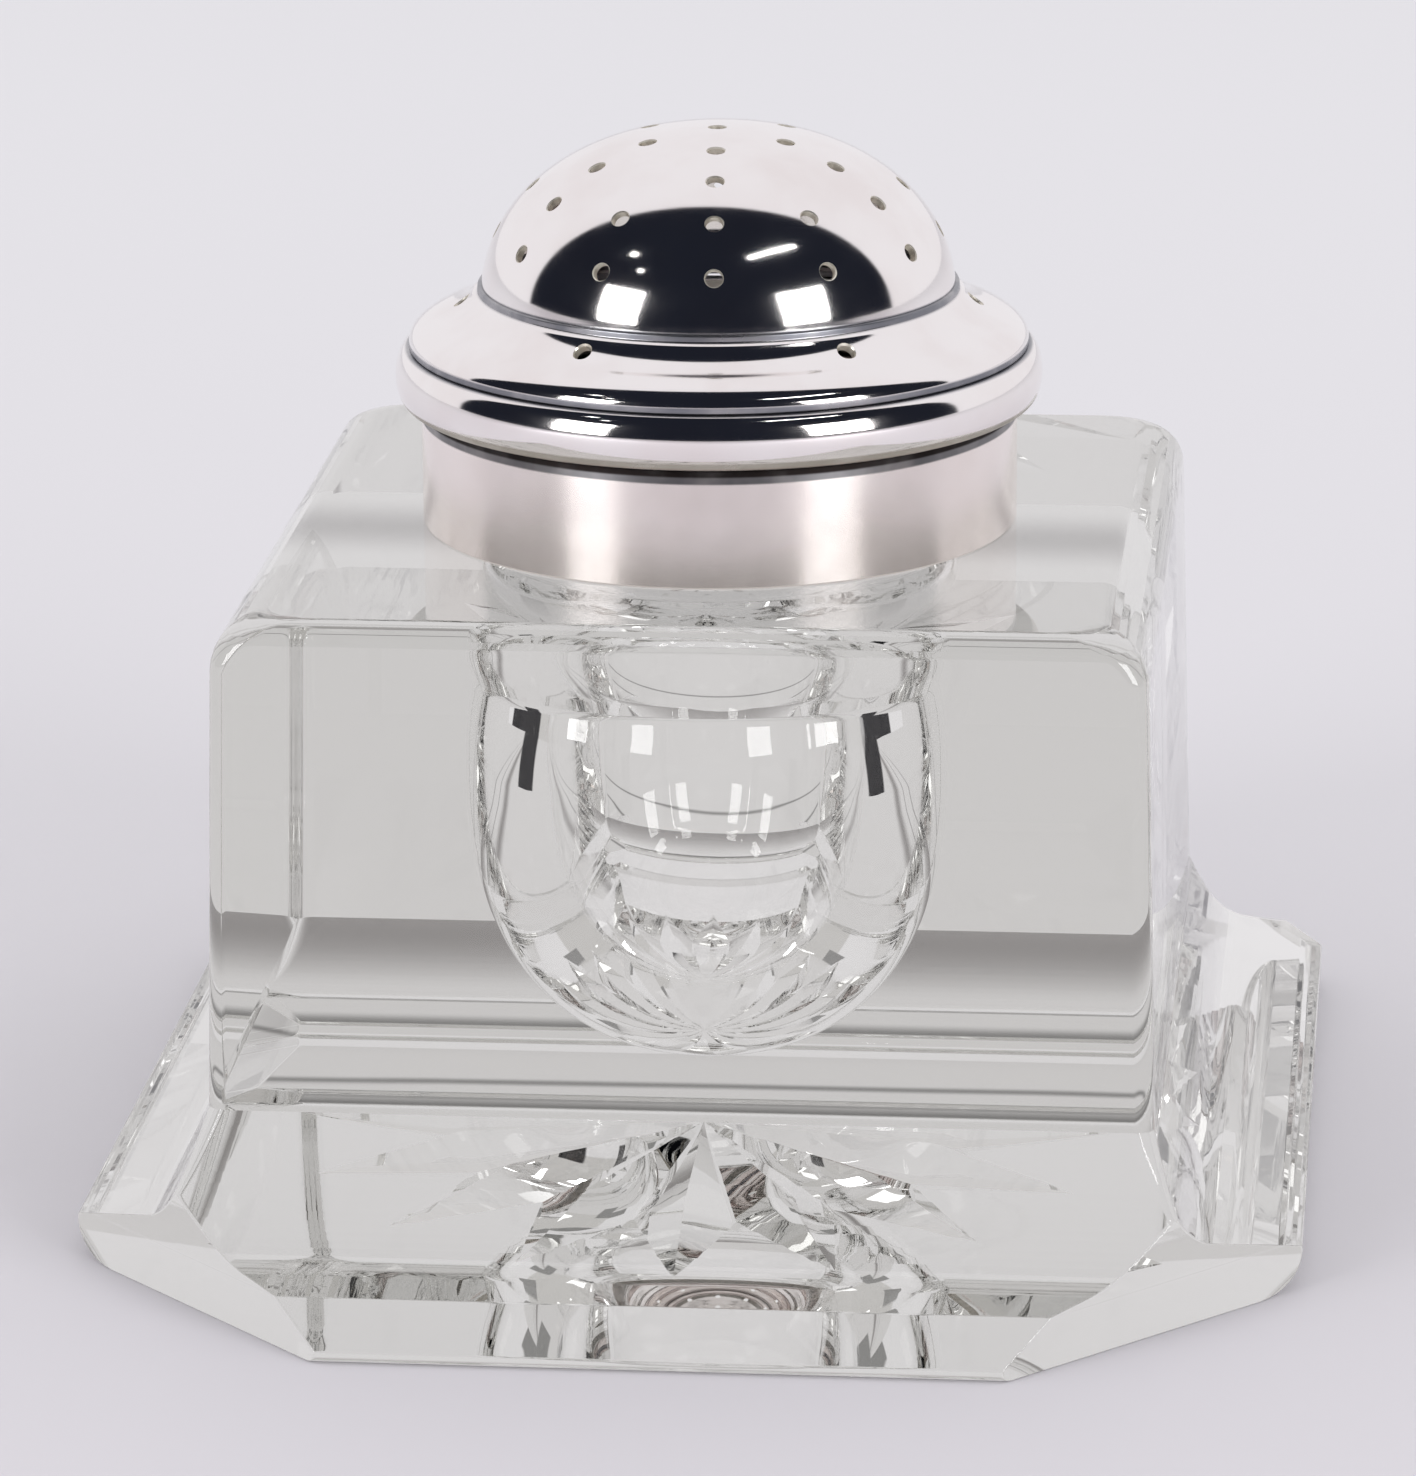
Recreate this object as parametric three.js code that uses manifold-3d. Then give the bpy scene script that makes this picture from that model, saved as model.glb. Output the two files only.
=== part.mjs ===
// A cut-glass inkwell with a silver collar and a hinged, pierced silver lid.
// Millimetres, Z up. The well's axis is the Z axis, the underside is at Z = 0,
// the front faces -Y and the hinge is at the back, on +Y.
import * as THREE from "three";
import { mergeVertices } from "three/addons/utils/BufferGeometryUtils.js";
import Module from "manifold-3d";

const wasm = await Module();
wasm.setup();

// Smoothness of the round parts.
const RING_STEPS = 40;
const KNUCKLE_STEPS = 20;
const HOLE_STEPS = 8;
const CURVE_STEPS = 6;
const OGEE_STEPS = 4;
const RIM_STEPS = 4;
const DOME_OUTER_STEPS = 10;
const DOME_INNER_STEPS = 7;

// Overrun of every cut, and the clearances between neighbouring pieces.
const CUT_OVERSHOOT = 1;
const SEAT_GAP = 0.3;
const CEMENT_GAP = 0.1;

// Block of the glass.
const BLOCK_FOOT_HALF = 36.3;
const BLOCK_TAPER = 0.8;
const BLOCK_TOP_HALF = BLOCK_FOOT_HALF - BLOCK_TAPER;
const BLOCK_TOP_Z = 52.5;
const BLOCK_CORNER_ROUNDING = 1.5;
const SIDE_TOP_ROUNDING = 4;
const END_TOP_ROUNDING = 2;

// Base plate of the glass, which stands out from the block on all four sides.
const SIDE_FLANGE = 11.2;
const END_FLANGE = 16.7;
const BASE_HALF_WIDTH = BLOCK_FOOT_HALF + SIDE_FLANGE;
const BASE_HALF_DEPTH = BLOCK_FOOT_HALF + END_FLANGE;
const FRONT_CANT = 21.7;
const BACK_CANT = 9.5;
const SIDE_FOOT_ROUNDING = 3;
const END_FOOT_ROUNDING = 0.6;
const END_EDGE_BEVEL_OUT = 3.4;
const END_EDGE_HEIGHT = 0.9;

// Hollow cove between the block and the sloping flange: tight at the sides, wide at front and back.
const COVE_TOP_Z = 14;
const SIDE_COVE_WIDTH = 4.5;
const SIDE_COVE_FOOT_Z = 5.9;
const SIDE_COVE_BEND_SHARE = 0.44;
const SIDE_SLOPE = 0.36;
const END_COVE_WIDTH = 10.5;
const END_COVE_FOOT_Z = 4.6;
const END_COVE_BEND_SHARE = 0.63;
const END_SLOPE = 0.22;

// Silver collar, which stands on the block round the glass neck.
const COLLAR_RADIUS = 23.5;
const COLLAR_WALL = 0.6;
const COLLAR_HEIGHT = 9.3;
const COLLAR_BORE = COLLAR_RADIUS - COLLAR_WALL;
const COLLAR_TOP_Z = BLOCK_TOP_Z + COLLAR_HEIGHT;

// Neck of the glass, with plaster between it and the collar.
const PLASTER_WALL = 0.9;
const NECK_RADIUS = COLLAR_BORE - PLASTER_WALL;
const NECK_DROP = 1.5;
const NECK_TOP_Z = COLLAR_TOP_Z - NECK_DROP;
const NECK_ROOT_DEPTH = 2;

// Well, throat and mouth of the glass.
const NECK_WALL = 2.6;
const MOUTH_RADIUS = NECK_RADIUS - NECK_WALL;
const MOUTH_HEIGHT = 11.8;
const MOUTH_Z = NECK_TOP_Z - MOUTH_HEIGHT;
const THROAT_INSET = 1.2;
const THROAT_RADIUS = MOUTH_RADIUS - THROAT_INSET;
const FLARE_HEIGHT = 6.5;
const THROAT_Z = MOUTH_Z - FLARE_HEIGHT;
const WELL_RADIUS = 18.9;
const WELL_NARROWING_HEIGHT = 6.5;
const WELL_WALL_TOP_Z = THROAT_Z - WELL_NARROWING_HEIGHT;
const WELL_WALL_HEIGHT = 0.8;
const WELL_FLOOR_Z = 11.7;
const WELL_FLOOR_RISE = WELL_WALL_TOP_Z - WELL_WALL_HEIGHT - WELL_FLOOR_Z;
const WELL_FLOOR_FULLNESS = 2.3;

// Star cut in the underside.
const STAR_RAYS = 16;
const STAR_FORWARD = 7.5;
const STAR_RADIUS = 32;
const STAR_WIDE_RADIUS = 20;
const STAR_WIDE_HALF = 3.8;
const STAR_DEPTH = 2.4;
const STAR_CENTRE_DEPTH = 0.15;

// Flat silver ring on the neck, inside the collar.
const MOUTH_RING_LIP = 0.5;
const MOUTH_RING_BORE = MOUTH_RADIUS - MOUTH_RING_LIP;
const MOUTH_RING_HEIGHT = 0.6;

// Hinge at the back of the collar: three knuckles on a pin.
const KNUCKLES = 3;
const KNUCKLE_RADIUS = 1.6;
const KNUCKLE_LENGTH = 4.6;
const KNUCKLE_GAP = 0.2;
const PIN_RADIUS = 0.68;
const PIN_CLEARANCE = 0.07;
const PIN_HEAD_LIP = 0.27;
const PIN_HEAD_LENGTH = 0.4;
const PIN_HEAD_GAP = 0.05;
const KNUCKLE_BORE = PIN_RADIUS + PIN_CLEARANCE;
const HINGE_STANDOFF = 0.4;
const HINGE_LIFT = 0.2;
const HINGE_Y = COLLAR_RADIUS + HINGE_STANDOFF + KNUCKLE_RADIUS;
const HINGE_Z = COLLAR_TOP_Z + HINGE_LIFT;
const HINGE_HALF = (KNUCKLES * KNUCKLE_LENGTH) / 2 + KNUCKLE_GAP;
const PIN_HALF = HINGE_HALF + PIN_HEAD_GAP + PIN_HEAD_LENGTH;

// Bracket under the hinge: it takes in the outer knuckles and slopes back to the collar.
const BRACKET_INSET = 0.1;
const BRACKET_HALF = HINGE_HALF - BRACKET_INSET;
const BRACKET_OUT = 0.8;
const BRACKET_LEVEL = 1.1;
const BRACKET_EDGE = 1.5;
const BRACKET_SLOPE = 2.6;

// Lid's rim and the sleeve that drops into the collar.
const LID_GAP = 0.3;
const RIM_OVERHANG = 2;
const RIM_HEIGHT = 4.3;
const RIM_WIDEST_UP = 2;
const RIM_FOOT_INSET = 1;
const RIDGE_INSET = 1.1;
const RIM_RADIUS = COLLAR_RADIUS + RIM_OVERHANG;
const RIM_FOOT_Z = COLLAR_TOP_Z + LID_GAP;
const RIM_TOP_Z = RIM_FOOT_Z + RIM_HEIGHT;
const RIDGE_RADIUS = RIM_RADIUS - RIDGE_INSET;
const BEZEL_PLAY = 1;
const BEZEL_WALL = 0.6;
const BEZEL_DROP = 0.8;
const BEZEL_HEIGHT = 4.1;
const BEZEL_RADIUS = COLLAR_BORE - BEZEL_PLAY;
const BEZEL_FOOT_Z = RIM_FOOT_Z - BEZEL_DROP;
const RIM_BORE = BEZEL_RADIUS + CEMENT_GAP;

// Notch in the rim for the hinge, and the block that carries the lid's knuckle in it.
const NOTCH_WALL = 1;
const NOTCH_SIDE_GAP = 0.15;
const NOTCH_HALF = PIN_HALF + NOTCH_SIDE_GAP;
const NOTCH_FRONT = RIM_BORE + NOTCH_WALL;
const LID_BEARER_SIDE_GAP = 0.1;
const LID_BEARER_HALF = KNUCKLE_LENGTH / 2 - LID_BEARER_SIDE_GAP;
const LID_BEARER_LIFT = 0.2;
const LID_BEARER_HEIGHT = 2.6;

// Dome: a round-shouldered cap pierced in rings.
const DOME_RADIUS = 18.69;
const DOME_RISE = 13.25;
const DOME_FULLNESS = 2.258;
const DOME_WALL = 0.6;
const HOLE_RADIUS = 0.68;
const HOLE_TURN = 4.5;
const HOLE_RING_SHARES = [0, 0.332, 0.5725, 0.776, 0.931];
const HOLE_RING_COUNTS = [1, 6, 6, 12, 12];

// Shoulder: a low ridge band, an ogee and the band that the dome stands on.
const SHOULDER_WALL = 0.7;
const RIDGE_BAND_HEIGHT = 0.55;
const OGEE_HEIGHT = 3.6;
const OGEE_BEND_SHARES = [[0.02, 0.29], [0.475, 0.514], [0.832, 0.68]];
const BAND_STEP = 0.2;
const BAND_HEIGHT = 0.55;
const BAND_OUT = 0.26;
const BAND_IN = 0.19;
const BAND_RADIUS = DOME_RADIUS + BAND_OUT;
const BAND_BORE = DOME_RADIUS - DOME_WALL - BAND_IN;
const OGEE_END_RADIUS = BAND_RADIUS + BAND_STEP + BAND_STEP;
const OGEE_FOOT_Z = RIM_TOP_Z + RIDGE_BAND_HEIGHT;
const OGEE_END_Z = OGEE_FOOT_Z + OGEE_HEIGHT;
const DOME_FOOT_Z = OGEE_END_Z + BAND_STEP + BAND_HEIGHT;
const SHOULDER_HOLES = 6;
const SHOULDER_HOLE_SHARE = 0.6;
const SHOULDER_HOLE_TURN = 34.5;

// The dome's widest level lies a little under its foot.
const DOME_SPRING_DROP = 0.99;
const DOME_CENTRE_Z = DOME_FOOT_Z - DOME_SPRING_DROP;

const GLASS = new THREE.MeshStandardMaterial({ color: 0xc9cccb, roughness: 0.03, metalness: 0 });
const SILVER = new THREE.MeshStandardMaterial({ color: 0xe9e2df, roughness: 0.14, metalness: 1 });
const DULL_SILVER = new THREE.MeshStandardMaterial({ color: 0xb4afa9, roughness: 0.35, metalness: 1 });
const PLASTER = new THREE.MeshStandardMaterial({ color: 0xd8d2c6, roughness: 0.9, metalness: 0 });

// Leaves a geometry with positions only, its shared vertices merged and no flat triangles.
function welded(geometry) {
  geometry.deleteAttribute("normal");
  geometry.deleteAttribute("uv");
  const joined = mergeVertices(geometry);
  const old = joined.index.array;
  const kept = [];
  for (let i = 0; i < old.length; i += 3) {
    const [a, b, c] = [old[i], old[i + 1], old[i + 2]];
    if (a !== b && b !== c && c !== a) {
      kept.push(a, b, c);
    }
  }
  joined.setIndex(kept);
  return joined;
}

function toSolid(geometry) {
  const joined = welded(geometry);
  return new wasm.Manifold(new wasm.Mesh({
    numProp: 3,
    vertProperties: new Float32Array(joined.attributes.position.array),
    triVerts: new Uint32Array(joined.index.array),
  }));
}

function toGeometry(solid) {
  const mesh = solid.getMesh();
  const geometry = new THREE.BufferGeometry();
  geometry.setAttribute("position", new THREE.BufferAttribute(mesh.vertProperties, 3));
  geometry.setIndex(new THREE.BufferAttribute(mesh.triVerts, 1));
  geometry.computeVertexNormals();
  return geometry;
}

// A body of revolution about Z from [radius, height] pairs, counter-clockwise seen with Z up.
function turned(pairs, steps = RING_STEPS) {
  const points = pairs.map(([radius, height]) => new THREE.Vector2(radius, height));
  return new THREE.LatheGeometry(points, steps).rotateX(Math.PI / 2);
}

function turnedRing(pairs, steps) {
  return turned([...pairs, pairs[0]], steps);
}

function plainRing(bore, radius, low, high, steps) {
  return turnedRing([[bore, low], [radius, low], [radius, high], [bore, high]], steps);
}

// A turned body lying along X on the hinge's axis, with its own Z = 0 at x.
function alongHinge(geometry, x) {
  return geometry.rotateY(Math.PI / 2).translate(x, HINGE_Y, HINGE_Z);
}

// A prism along X, from -half to half, of an outline given as [y, z] pairs.
function prismAlongX(outline, half) {
  const shape = new THREE.Shape(outline.map(([y, z]) => new THREE.Vector2(y, z)));
  const prism = new THREE.ExtrudeGeometry(shape, { depth: half + half, bevelEnabled: false });
  return prism.translate(0, 0, -half).rotateX(Math.PI / 2).rotateZ(Math.PI / 2);
}

function prismAlongY(outline, half) {
  return prismAlongX(outline, half).rotateZ(-Math.PI / 2);
}

function prismUpright(outline, low, high) {
  const shape = new THREE.Shape(outline.map(([x, y]) => new THREE.Vector2(x, y)));
  const prism = new THREE.ExtrudeGeometry(shape, { depth: high - low, bevelEnabled: false });
  return prism.translate(0, 0, low);
}

// Points of a quarter arc round a centre, from one angle to another in degrees.
function arc(centre, radius, from, to) {
  const points = [];
  for (let i = 0; i <= CURVE_STEPS; i += 1) {
    const angle = THREE.MathUtils.degToRad(from + ((to - from) * i) / CURVE_STEPS);
    points.push([centre[0] + radius * Math.cos(angle), centre[1] + radius * Math.sin(angle)]);
  }
  return points;
}

// Adds the mirror image of a right-hand outline that runs from its foot to its top.
function mirrored(outline) {
  const left = outline.map(([x, z]) => [-x, z]).reverse();
  return [...outline, ...left];
}

// The cove's curve from the flange, which it leaves without a crease, up to the block's foot.
function coveCurve(width, footZ, bendShare, slope) {
  const bend = width * bendShare;
  const curve = new THREE.QuadraticBezierCurve(
    new THREE.Vector2(width, footZ),
    new THREE.Vector2(bend, footZ + (width - bend) * slope),
    new THREE.Vector2(0, COVE_TOP_Z),
  );
  return curve.getPoints(CURVE_STEPS).map((point) => [BLOCK_FOOT_HALF + point.x, point.y]);
}

// Half outline of the glass on its sides, from the underside to the top of the block.
function sideOutline() {
  const round = SIDE_FOOT_ROUNDING;
  const foot = arc([BASE_HALF_WIDTH - round, round], round, -90, 0);
  const edgeZ = SIDE_COVE_FOOT_Z - (SIDE_FLANGE - SIDE_COVE_WIDTH) * SIDE_SLOPE;
  const cove = coveCurve(SIDE_COVE_WIDTH, SIDE_COVE_FOOT_Z, SIDE_COVE_BEND_SHARE, SIDE_SLOPE);
  const top = arc([BLOCK_TOP_HALF - SIDE_TOP_ROUNDING, BLOCK_TOP_Z - SIDE_TOP_ROUNDING],
    SIDE_TOP_ROUNDING, 0, 90);
  return [...foot, [BASE_HALF_WIDTH, edgeZ], ...cove, ...top];
}

// Half outline of the glass at its front and back, with the bevelled outer edge.
function endOutline() {
  const round = END_FOOT_ROUNDING;
  const foot = arc([BASE_HALF_DEPTH - round, round], round, -90, 0);
  const flat = END_FLANGE - END_COVE_WIDTH - END_EDGE_BEVEL_OUT;
  const bevel = [
    [BASE_HALF_DEPTH, END_EDGE_HEIGHT],
    [BASE_HALF_DEPTH - END_EDGE_BEVEL_OUT, END_COVE_FOOT_Z - flat * END_SLOPE],
  ];
  const cove = coveCurve(END_COVE_WIDTH, END_COVE_FOOT_Z, END_COVE_BEND_SHARE, END_SLOPE);
  const top = arc([BLOCK_TOP_HALF - END_TOP_ROUNDING, BLOCK_TOP_Z - END_TOP_ROUNDING],
    END_TOP_ROUNDING, 0, 90);
  return [...foot, ...bevel, ...cove, ...top];
}

// The base plate seen from above, with its four cut corners.
function basePlan() {
  const [w, d] = [BASE_HALF_WIDTH, BASE_HALF_DEPTH];
  return [
    [FRONT_CANT - w, -d], [w - FRONT_CANT, -d], [w, FRONT_CANT - d], [w, d - BACK_CANT],
    [w - BACK_CANT, d], [BACK_CANT - w, d], [-w, d - BACK_CANT], [-w, FRONT_CANT - d],
  ];
}

// The tapering block with rounded upright corners, standing on the foot of the cove.
function roundedBlock() {
  const inset = BLOCK_FOOT_HALF - BLOCK_CORNER_ROUNDING;
  const corners = [[inset, inset, 0], [-inset, inset, 90], [-inset, -inset, 180], [inset, -inset, 270]];
  const plan = corners.flatMap(([x, y, turn]) => arc([x, y], BLOCK_CORNER_ROUNDING, turn, turn + 90));
  const block = prismUpright(plan, COVE_TOP_Z, BLOCK_TOP_Z);
  const position = block.attributes.position;
  const narrowing = BLOCK_TAPER / BLOCK_FOOT_HALF;
  for (let i = 0; i < position.count; i += 1) {
    const share = (position.getZ(i) - COVE_TOP_Z) / (BLOCK_TOP_Z - COVE_TOP_Z);
    const scale = 1 - share * narrowing;
    position.setX(i, position.getX(i) * scale);
    position.setY(i, position.getY(i) * scale);
  }
  return block;
}

function wellOutline() {
  const floor = [];
  for (let i = 0; i <= CURVE_STEPS; i += 1) {
    const angle = (Math.PI / 2) * (i / CURVE_STEPS);
    const across = Math.sin(angle) ** (2 / WELL_FLOOR_FULLNESS);
    const down = Math.cos(angle) ** (2 / WELL_FLOOR_FULLNESS);
    floor.push([WELL_RADIUS * across, WELL_FLOOR_Z + WELL_FLOOR_RISE * (1 - down)]);
  }
  const waist = curvedSteps([WELL_RADIUS, WELL_WALL_TOP_Z], [THROAT_RADIUS, THROAT_Z]);
  const flare = curvedSteps([MOUTH_RADIUS, MOUTH_Z], [THROAT_RADIUS, THROAT_Z]).reverse();
  const top = NECK_TOP_Z + CUT_OVERSHOOT;
  return [...floor, ...waist, ...flare.slice(1), [MOUTH_RADIUS, top], [0, top]];
}

// Points on a curve that leaves one [radius, height] pair upright and reaches the other at a slant.
function curvedSteps([r0, z0], [r1, z1]) {
  const points = [];
  for (let i = 0; i <= CURVE_STEPS; i += 1) {
    const share = i / CURVE_STEPS;
    points.push([r0 + (r1 - r0) * share * share, z0 + (z1 - z0) * share]);
  }
  return points;
}

// One V-shaped ray of the star: narrow at the centre, widest part way out, pointed at its tip.
function starRay(turn) {
  const low = -CUT_OVERSHOOT;
  const spread = (STAR_DEPTH + CUT_OVERSHOOT) / STAR_DEPTH;
  const corners = [
    [0, 0, STAR_CENTRE_DEPTH],
    [STAR_WIDE_RADIUS, 0, STAR_DEPTH],
    [STAR_RADIUS, 0, 0],
    [0, 0, low],
    [STAR_WIDE_RADIUS, STAR_WIDE_HALF * spread, low],
    [STAR_WIDE_RADIUS, -STAR_WIDE_HALF * spread, low],
    [STAR_RADIUS, 0, low],
  ];
  const faces = [
    [0, 1, 4], [1, 0, 5], [1, 2, 4], [2, 1, 5],
    [0, 4, 3], [0, 3, 5], [2, 6, 4], [2, 5, 6], [3, 4, 6], [3, 6, 5],
  ];
  const geometry = new THREE.BufferGeometry();
  geometry.setAttribute("position", new THREE.BufferAttribute(new Float32Array(corners.flat()), 3));
  geometry.setIndex(faces.flat());
  return geometry.rotateZ(turn).translate(0, -STAR_FORWARD, 0);
}

function glassBlock() {
  const reach = BASE_HALF_DEPTH + CUT_OVERSHOOT;
  const plan = basePlan();
  const wide = [[-reach, -reach], [reach, -reach], [reach, reach], [-reach, reach]];
  const under = toSolid(prismUpright(wide, -CUT_OVERSHOOT, COVE_TOP_Z));
  const envelope = under.add(toSolid(roundedBlock()));
  let body = toSolid(prismAlongY(mirrored(sideOutline()), reach))
    .intersect(toSolid(prismAlongX(mirrored(endOutline()), reach)))
    .intersect(toSolid(prismUpright(plan, -CUT_OVERSHOOT, BLOCK_TOP_Z + CUT_OVERSHOOT)))
    .intersect(envelope);
  const root = BLOCK_TOP_Z - NECK_ROOT_DEPTH;
  const neck = turned([[0, root], [NECK_RADIUS, root], [NECK_RADIUS, NECK_TOP_Z], [0, NECK_TOP_Z]]);
  body = body.add(toSolid(neck)).subtract(toSolid(turned(wellOutline())));
  for (let i = 0; i < STAR_RAYS; i += 1) {
    body = body.subtract(toSolid(starRay((2 * Math.PI * i) / STAR_RAYS)));
  }
  return toGeometry(body);
}

function neckPlaster() {
  return welded(plainRing(NECK_RADIUS + CEMENT_GAP, COLLAR_BORE - CEMENT_GAP, BLOCK_TOP_Z, NECK_TOP_Z));
}

function collarSleeve() {
  return welded(plainRing(COLLAR_BORE, COLLAR_RADIUS, BLOCK_TOP_Z, COLLAR_TOP_Z));
}

function mouthRing() {
  const high = NECK_TOP_Z + MOUTH_RING_HEIGHT;
  return welded(plainRing(MOUTH_RING_BORE, COLLAR_BORE - CEMENT_GAP, NECK_TOP_Z, high));
}

function hingeKnuckle(position) {
  const half = KNUCKLE_LENGTH / 2;
  const ring = plainRing(KNUCKLE_BORE, KNUCKLE_RADIUS, -half, half, KNUCKLE_STEPS);
  return welded(alongHinge(ring, position * (KNUCKLE_LENGTH + KNUCKLE_GAP)));
}

// The pin: a straight rod with a small peened head at each end.
function hingePin() {
  const neck = HINGE_HALF + PIN_HEAD_GAP;
  const head = PIN_RADIUS + PIN_HEAD_LIP;
  const rod = turned([
    [0, -PIN_HALF], [PIN_RADIUS, -PIN_HALF], [head, -neck], [PIN_RADIUS, -neck],
    [PIN_RADIUS, neck], [head, neck], [PIN_RADIUS, PIN_HALF], [0, PIN_HALF],
  ], KNUCKLE_STEPS);
  return welded(alongHinge(rod, 0));
}

// The space that a bearer leaves for the knuckles.
function knuckleRoom(half) {
  const radius = KNUCKLE_RADIUS + SEAT_GAP;
  const rod = turned([[0, -half], [radius, -half], [radius, half], [0, half]], KNUCKLE_STEPS);
  return toSolid(alongHinge(rod, 0));
}

function collarHingeBearer() {
  const radius = COLLAR_RADIUS + SEAT_GAP;
  const front = radius - CUT_OVERSHOOT;
  const back = HINGE_Y + BRACKET_OUT;
  const top = HINGE_Z - BRACKET_LEVEL;
  const heel = top - BRACKET_EDGE;
  const foot = heel - BRACKET_SLOPE;
  const outline = [[front, foot], [radius, foot], [back, heel], [back, top], [front, top]];
  const low = foot - CUT_OVERSHOOT;
  const high = top + CUT_OVERSHOOT;
  const collarRoom = toSolid(turned([[0, low], [radius, low], [radius, high], [0, high]]));
  const bearer = toSolid(prismAlongX(outline, BRACKET_HALF))
    .subtract(collarRoom)
    .subtract(knuckleRoom(BRACKET_HALF + CUT_OVERSHOOT));
  return toGeometry(bearer);
}

function lidHingeBearer() {
  const front = NOTCH_FRONT + SEAT_GAP;
  const back = HINGE_Y - SEAT_GAP;
  const foot = RIM_FOOT_Z + LID_BEARER_LIFT;
  const top = HINGE_Z + LID_BEARER_HEIGHT;
  const outline = [[front, foot], [back, foot], [back, top], [front, top]];
  const bearer = toSolid(prismAlongX(outline, LID_BEARER_HALF))
    .subtract(knuckleRoom(LID_BEARER_HALF + CUT_OVERSHOOT));
  return toGeometry(bearer);
}

// The rim's bulge: a quarter ellipse up to its widest level and another up to the ridge.
function rimOutline() {
  const widest = RIM_FOOT_Z + RIM_WIDEST_UP;
  const points = [];
  for (let i = -RIM_STEPS; i <= RIM_STEPS; i += 1) {
    const angle = (Math.PI / 2) * (i / RIM_STEPS);
    const inset = i < 0 ? RIM_FOOT_INSET : RIDGE_INSET;
    const height = i < 0 ? RIM_WIDEST_UP : RIM_HEIGHT - RIM_WIDEST_UP;
    points.push([RIM_RADIUS - inset * (1 - Math.cos(angle)), widest + height * Math.sin(angle)]);
  }
  return points;
}

function lidRim() {
  const ring = turnedRing([[RIM_BORE, RIM_FOOT_Z], ...rimOutline(), [RIM_BORE, RIM_TOP_Z]]);
  const back = RIM_RADIUS + CUT_OVERSHOOT;
  const notch = prismUpright(
    [[-NOTCH_HALF, NOTCH_FRONT], [NOTCH_HALF, NOTCH_FRONT], [NOTCH_HALF, back], [-NOTCH_HALF, back]],
    RIM_FOOT_Z - CUT_OVERSHOOT,
    RIM_TOP_Z + CUT_OVERSHOOT,
  );
  return toGeometry(toSolid(ring).subtract(toSolid(notch)));
}

function lidBezel() {
  const high = BEZEL_FOOT_Z + BEZEL_HEIGHT;
  return welded(plainRing(BEZEL_RADIUS - BEZEL_WALL, BEZEL_RADIUS, BEZEL_FOOT_Z, high));
}

// A drill for one hole, its middle at a point, leaning out from upright by a tilt.
function holeDrill(radius, z, tilt, turn) {
  const half = DOME_WALL + CUT_OVERSHOOT;
  const drill = turned([[0, -half], [HOLE_RADIUS, -half], [HOLE_RADIUS, half], [0, half]], HOLE_STEPS);
  return toSolid(drill.rotateX(tilt).translate(0, -radius, z).rotateZ(turn));
}

// The two halves of the ogee as curves of radius and height, hollow half last.
function ogeeCurves() {
  const width = RIDGE_RADIUS - OGEE_END_RADIUS;
  const [low, middle, high] = OGEE_BEND_SHARES.map(([across, up]) => (
    new THREE.Vector2(RIDGE_RADIUS - width * across, OGEE_FOOT_Z + OGEE_HEIGHT * up)
  ));
  const foot = new THREE.Vector2(RIDGE_RADIUS, OGEE_FOOT_Z);
  const end = new THREE.Vector2(OGEE_END_RADIUS, OGEE_END_Z);
  return [
    new THREE.QuadraticBezierCurve(foot, low, middle),
    new THREE.QuadraticBezierCurve(middle, high, end),
  ];
}

// The ogee's points from its foot to its end, moved in by a wall thickness square to the curve.
function ogeePoints(wall) {
  return ogeeCurves().flatMap((curve, half) => {
    const points = [];
    for (let i = half; i <= OGEE_STEPS; i += 1) {
      const point = curve.getPoint(i / OGEE_STEPS);
      const along = curve.getTangent(i / OGEE_STEPS);
      points.push([point.x - along.y * wall, point.y + along.x * wall]);
    }
    return points;
  });
}

function shoulderOutline() {
  return [
    [RIDGE_RADIUS, RIM_TOP_Z],
    ...ogeePoints(0),
    [BAND_RADIUS, OGEE_END_Z + BAND_STEP],
    [BAND_RADIUS, DOME_FOOT_Z],
    [BAND_BORE, DOME_FOOT_Z],
    [BAND_BORE, OGEE_END_Z],
    ...ogeePoints(SHOULDER_WALL).reverse(),
    [RIDGE_RADIUS - SHOULDER_WALL, RIM_TOP_Z],
  ];
}

function lidShoulder() {
  const hollow = ogeeCurves()[1];
  const middle = hollow.getPoint(SHOULDER_HOLE_SHARE);
  const along = hollow.getTangent(SHOULDER_HOLE_SHARE);
  const tilt = Math.atan2(along.y, -along.x);
  let shoulder = toSolid(turnedRing(shoulderOutline()));
  for (let i = 0; i < SHOULDER_HOLES; i += 1) {
    const turn = THREE.MathUtils.degToRad(SHOULDER_HOLE_TURN + (360 * i) / SHOULDER_HOLES);
    shoulder = shoulder.subtract(holeDrill(middle.x, middle.y, tilt, turn));
  }
  return toGeometry(shoulder);
}

// Radius of the dome's outside at a height.
function domeRadius(z) {
  const share = (z - DOME_CENTRE_Z) / DOME_RISE;
  return DOME_RADIUS * (1 - share * share) ** (1 / DOME_FULLNESS);
}

// Height of the dome's outside at a radius.
function domeHeight(radius) {
  const share = (radius / DOME_RADIUS) ** DOME_FULLNESS;
  return DOME_CENTRE_Z + DOME_RISE * Math.sqrt(1 - share);
}

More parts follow.
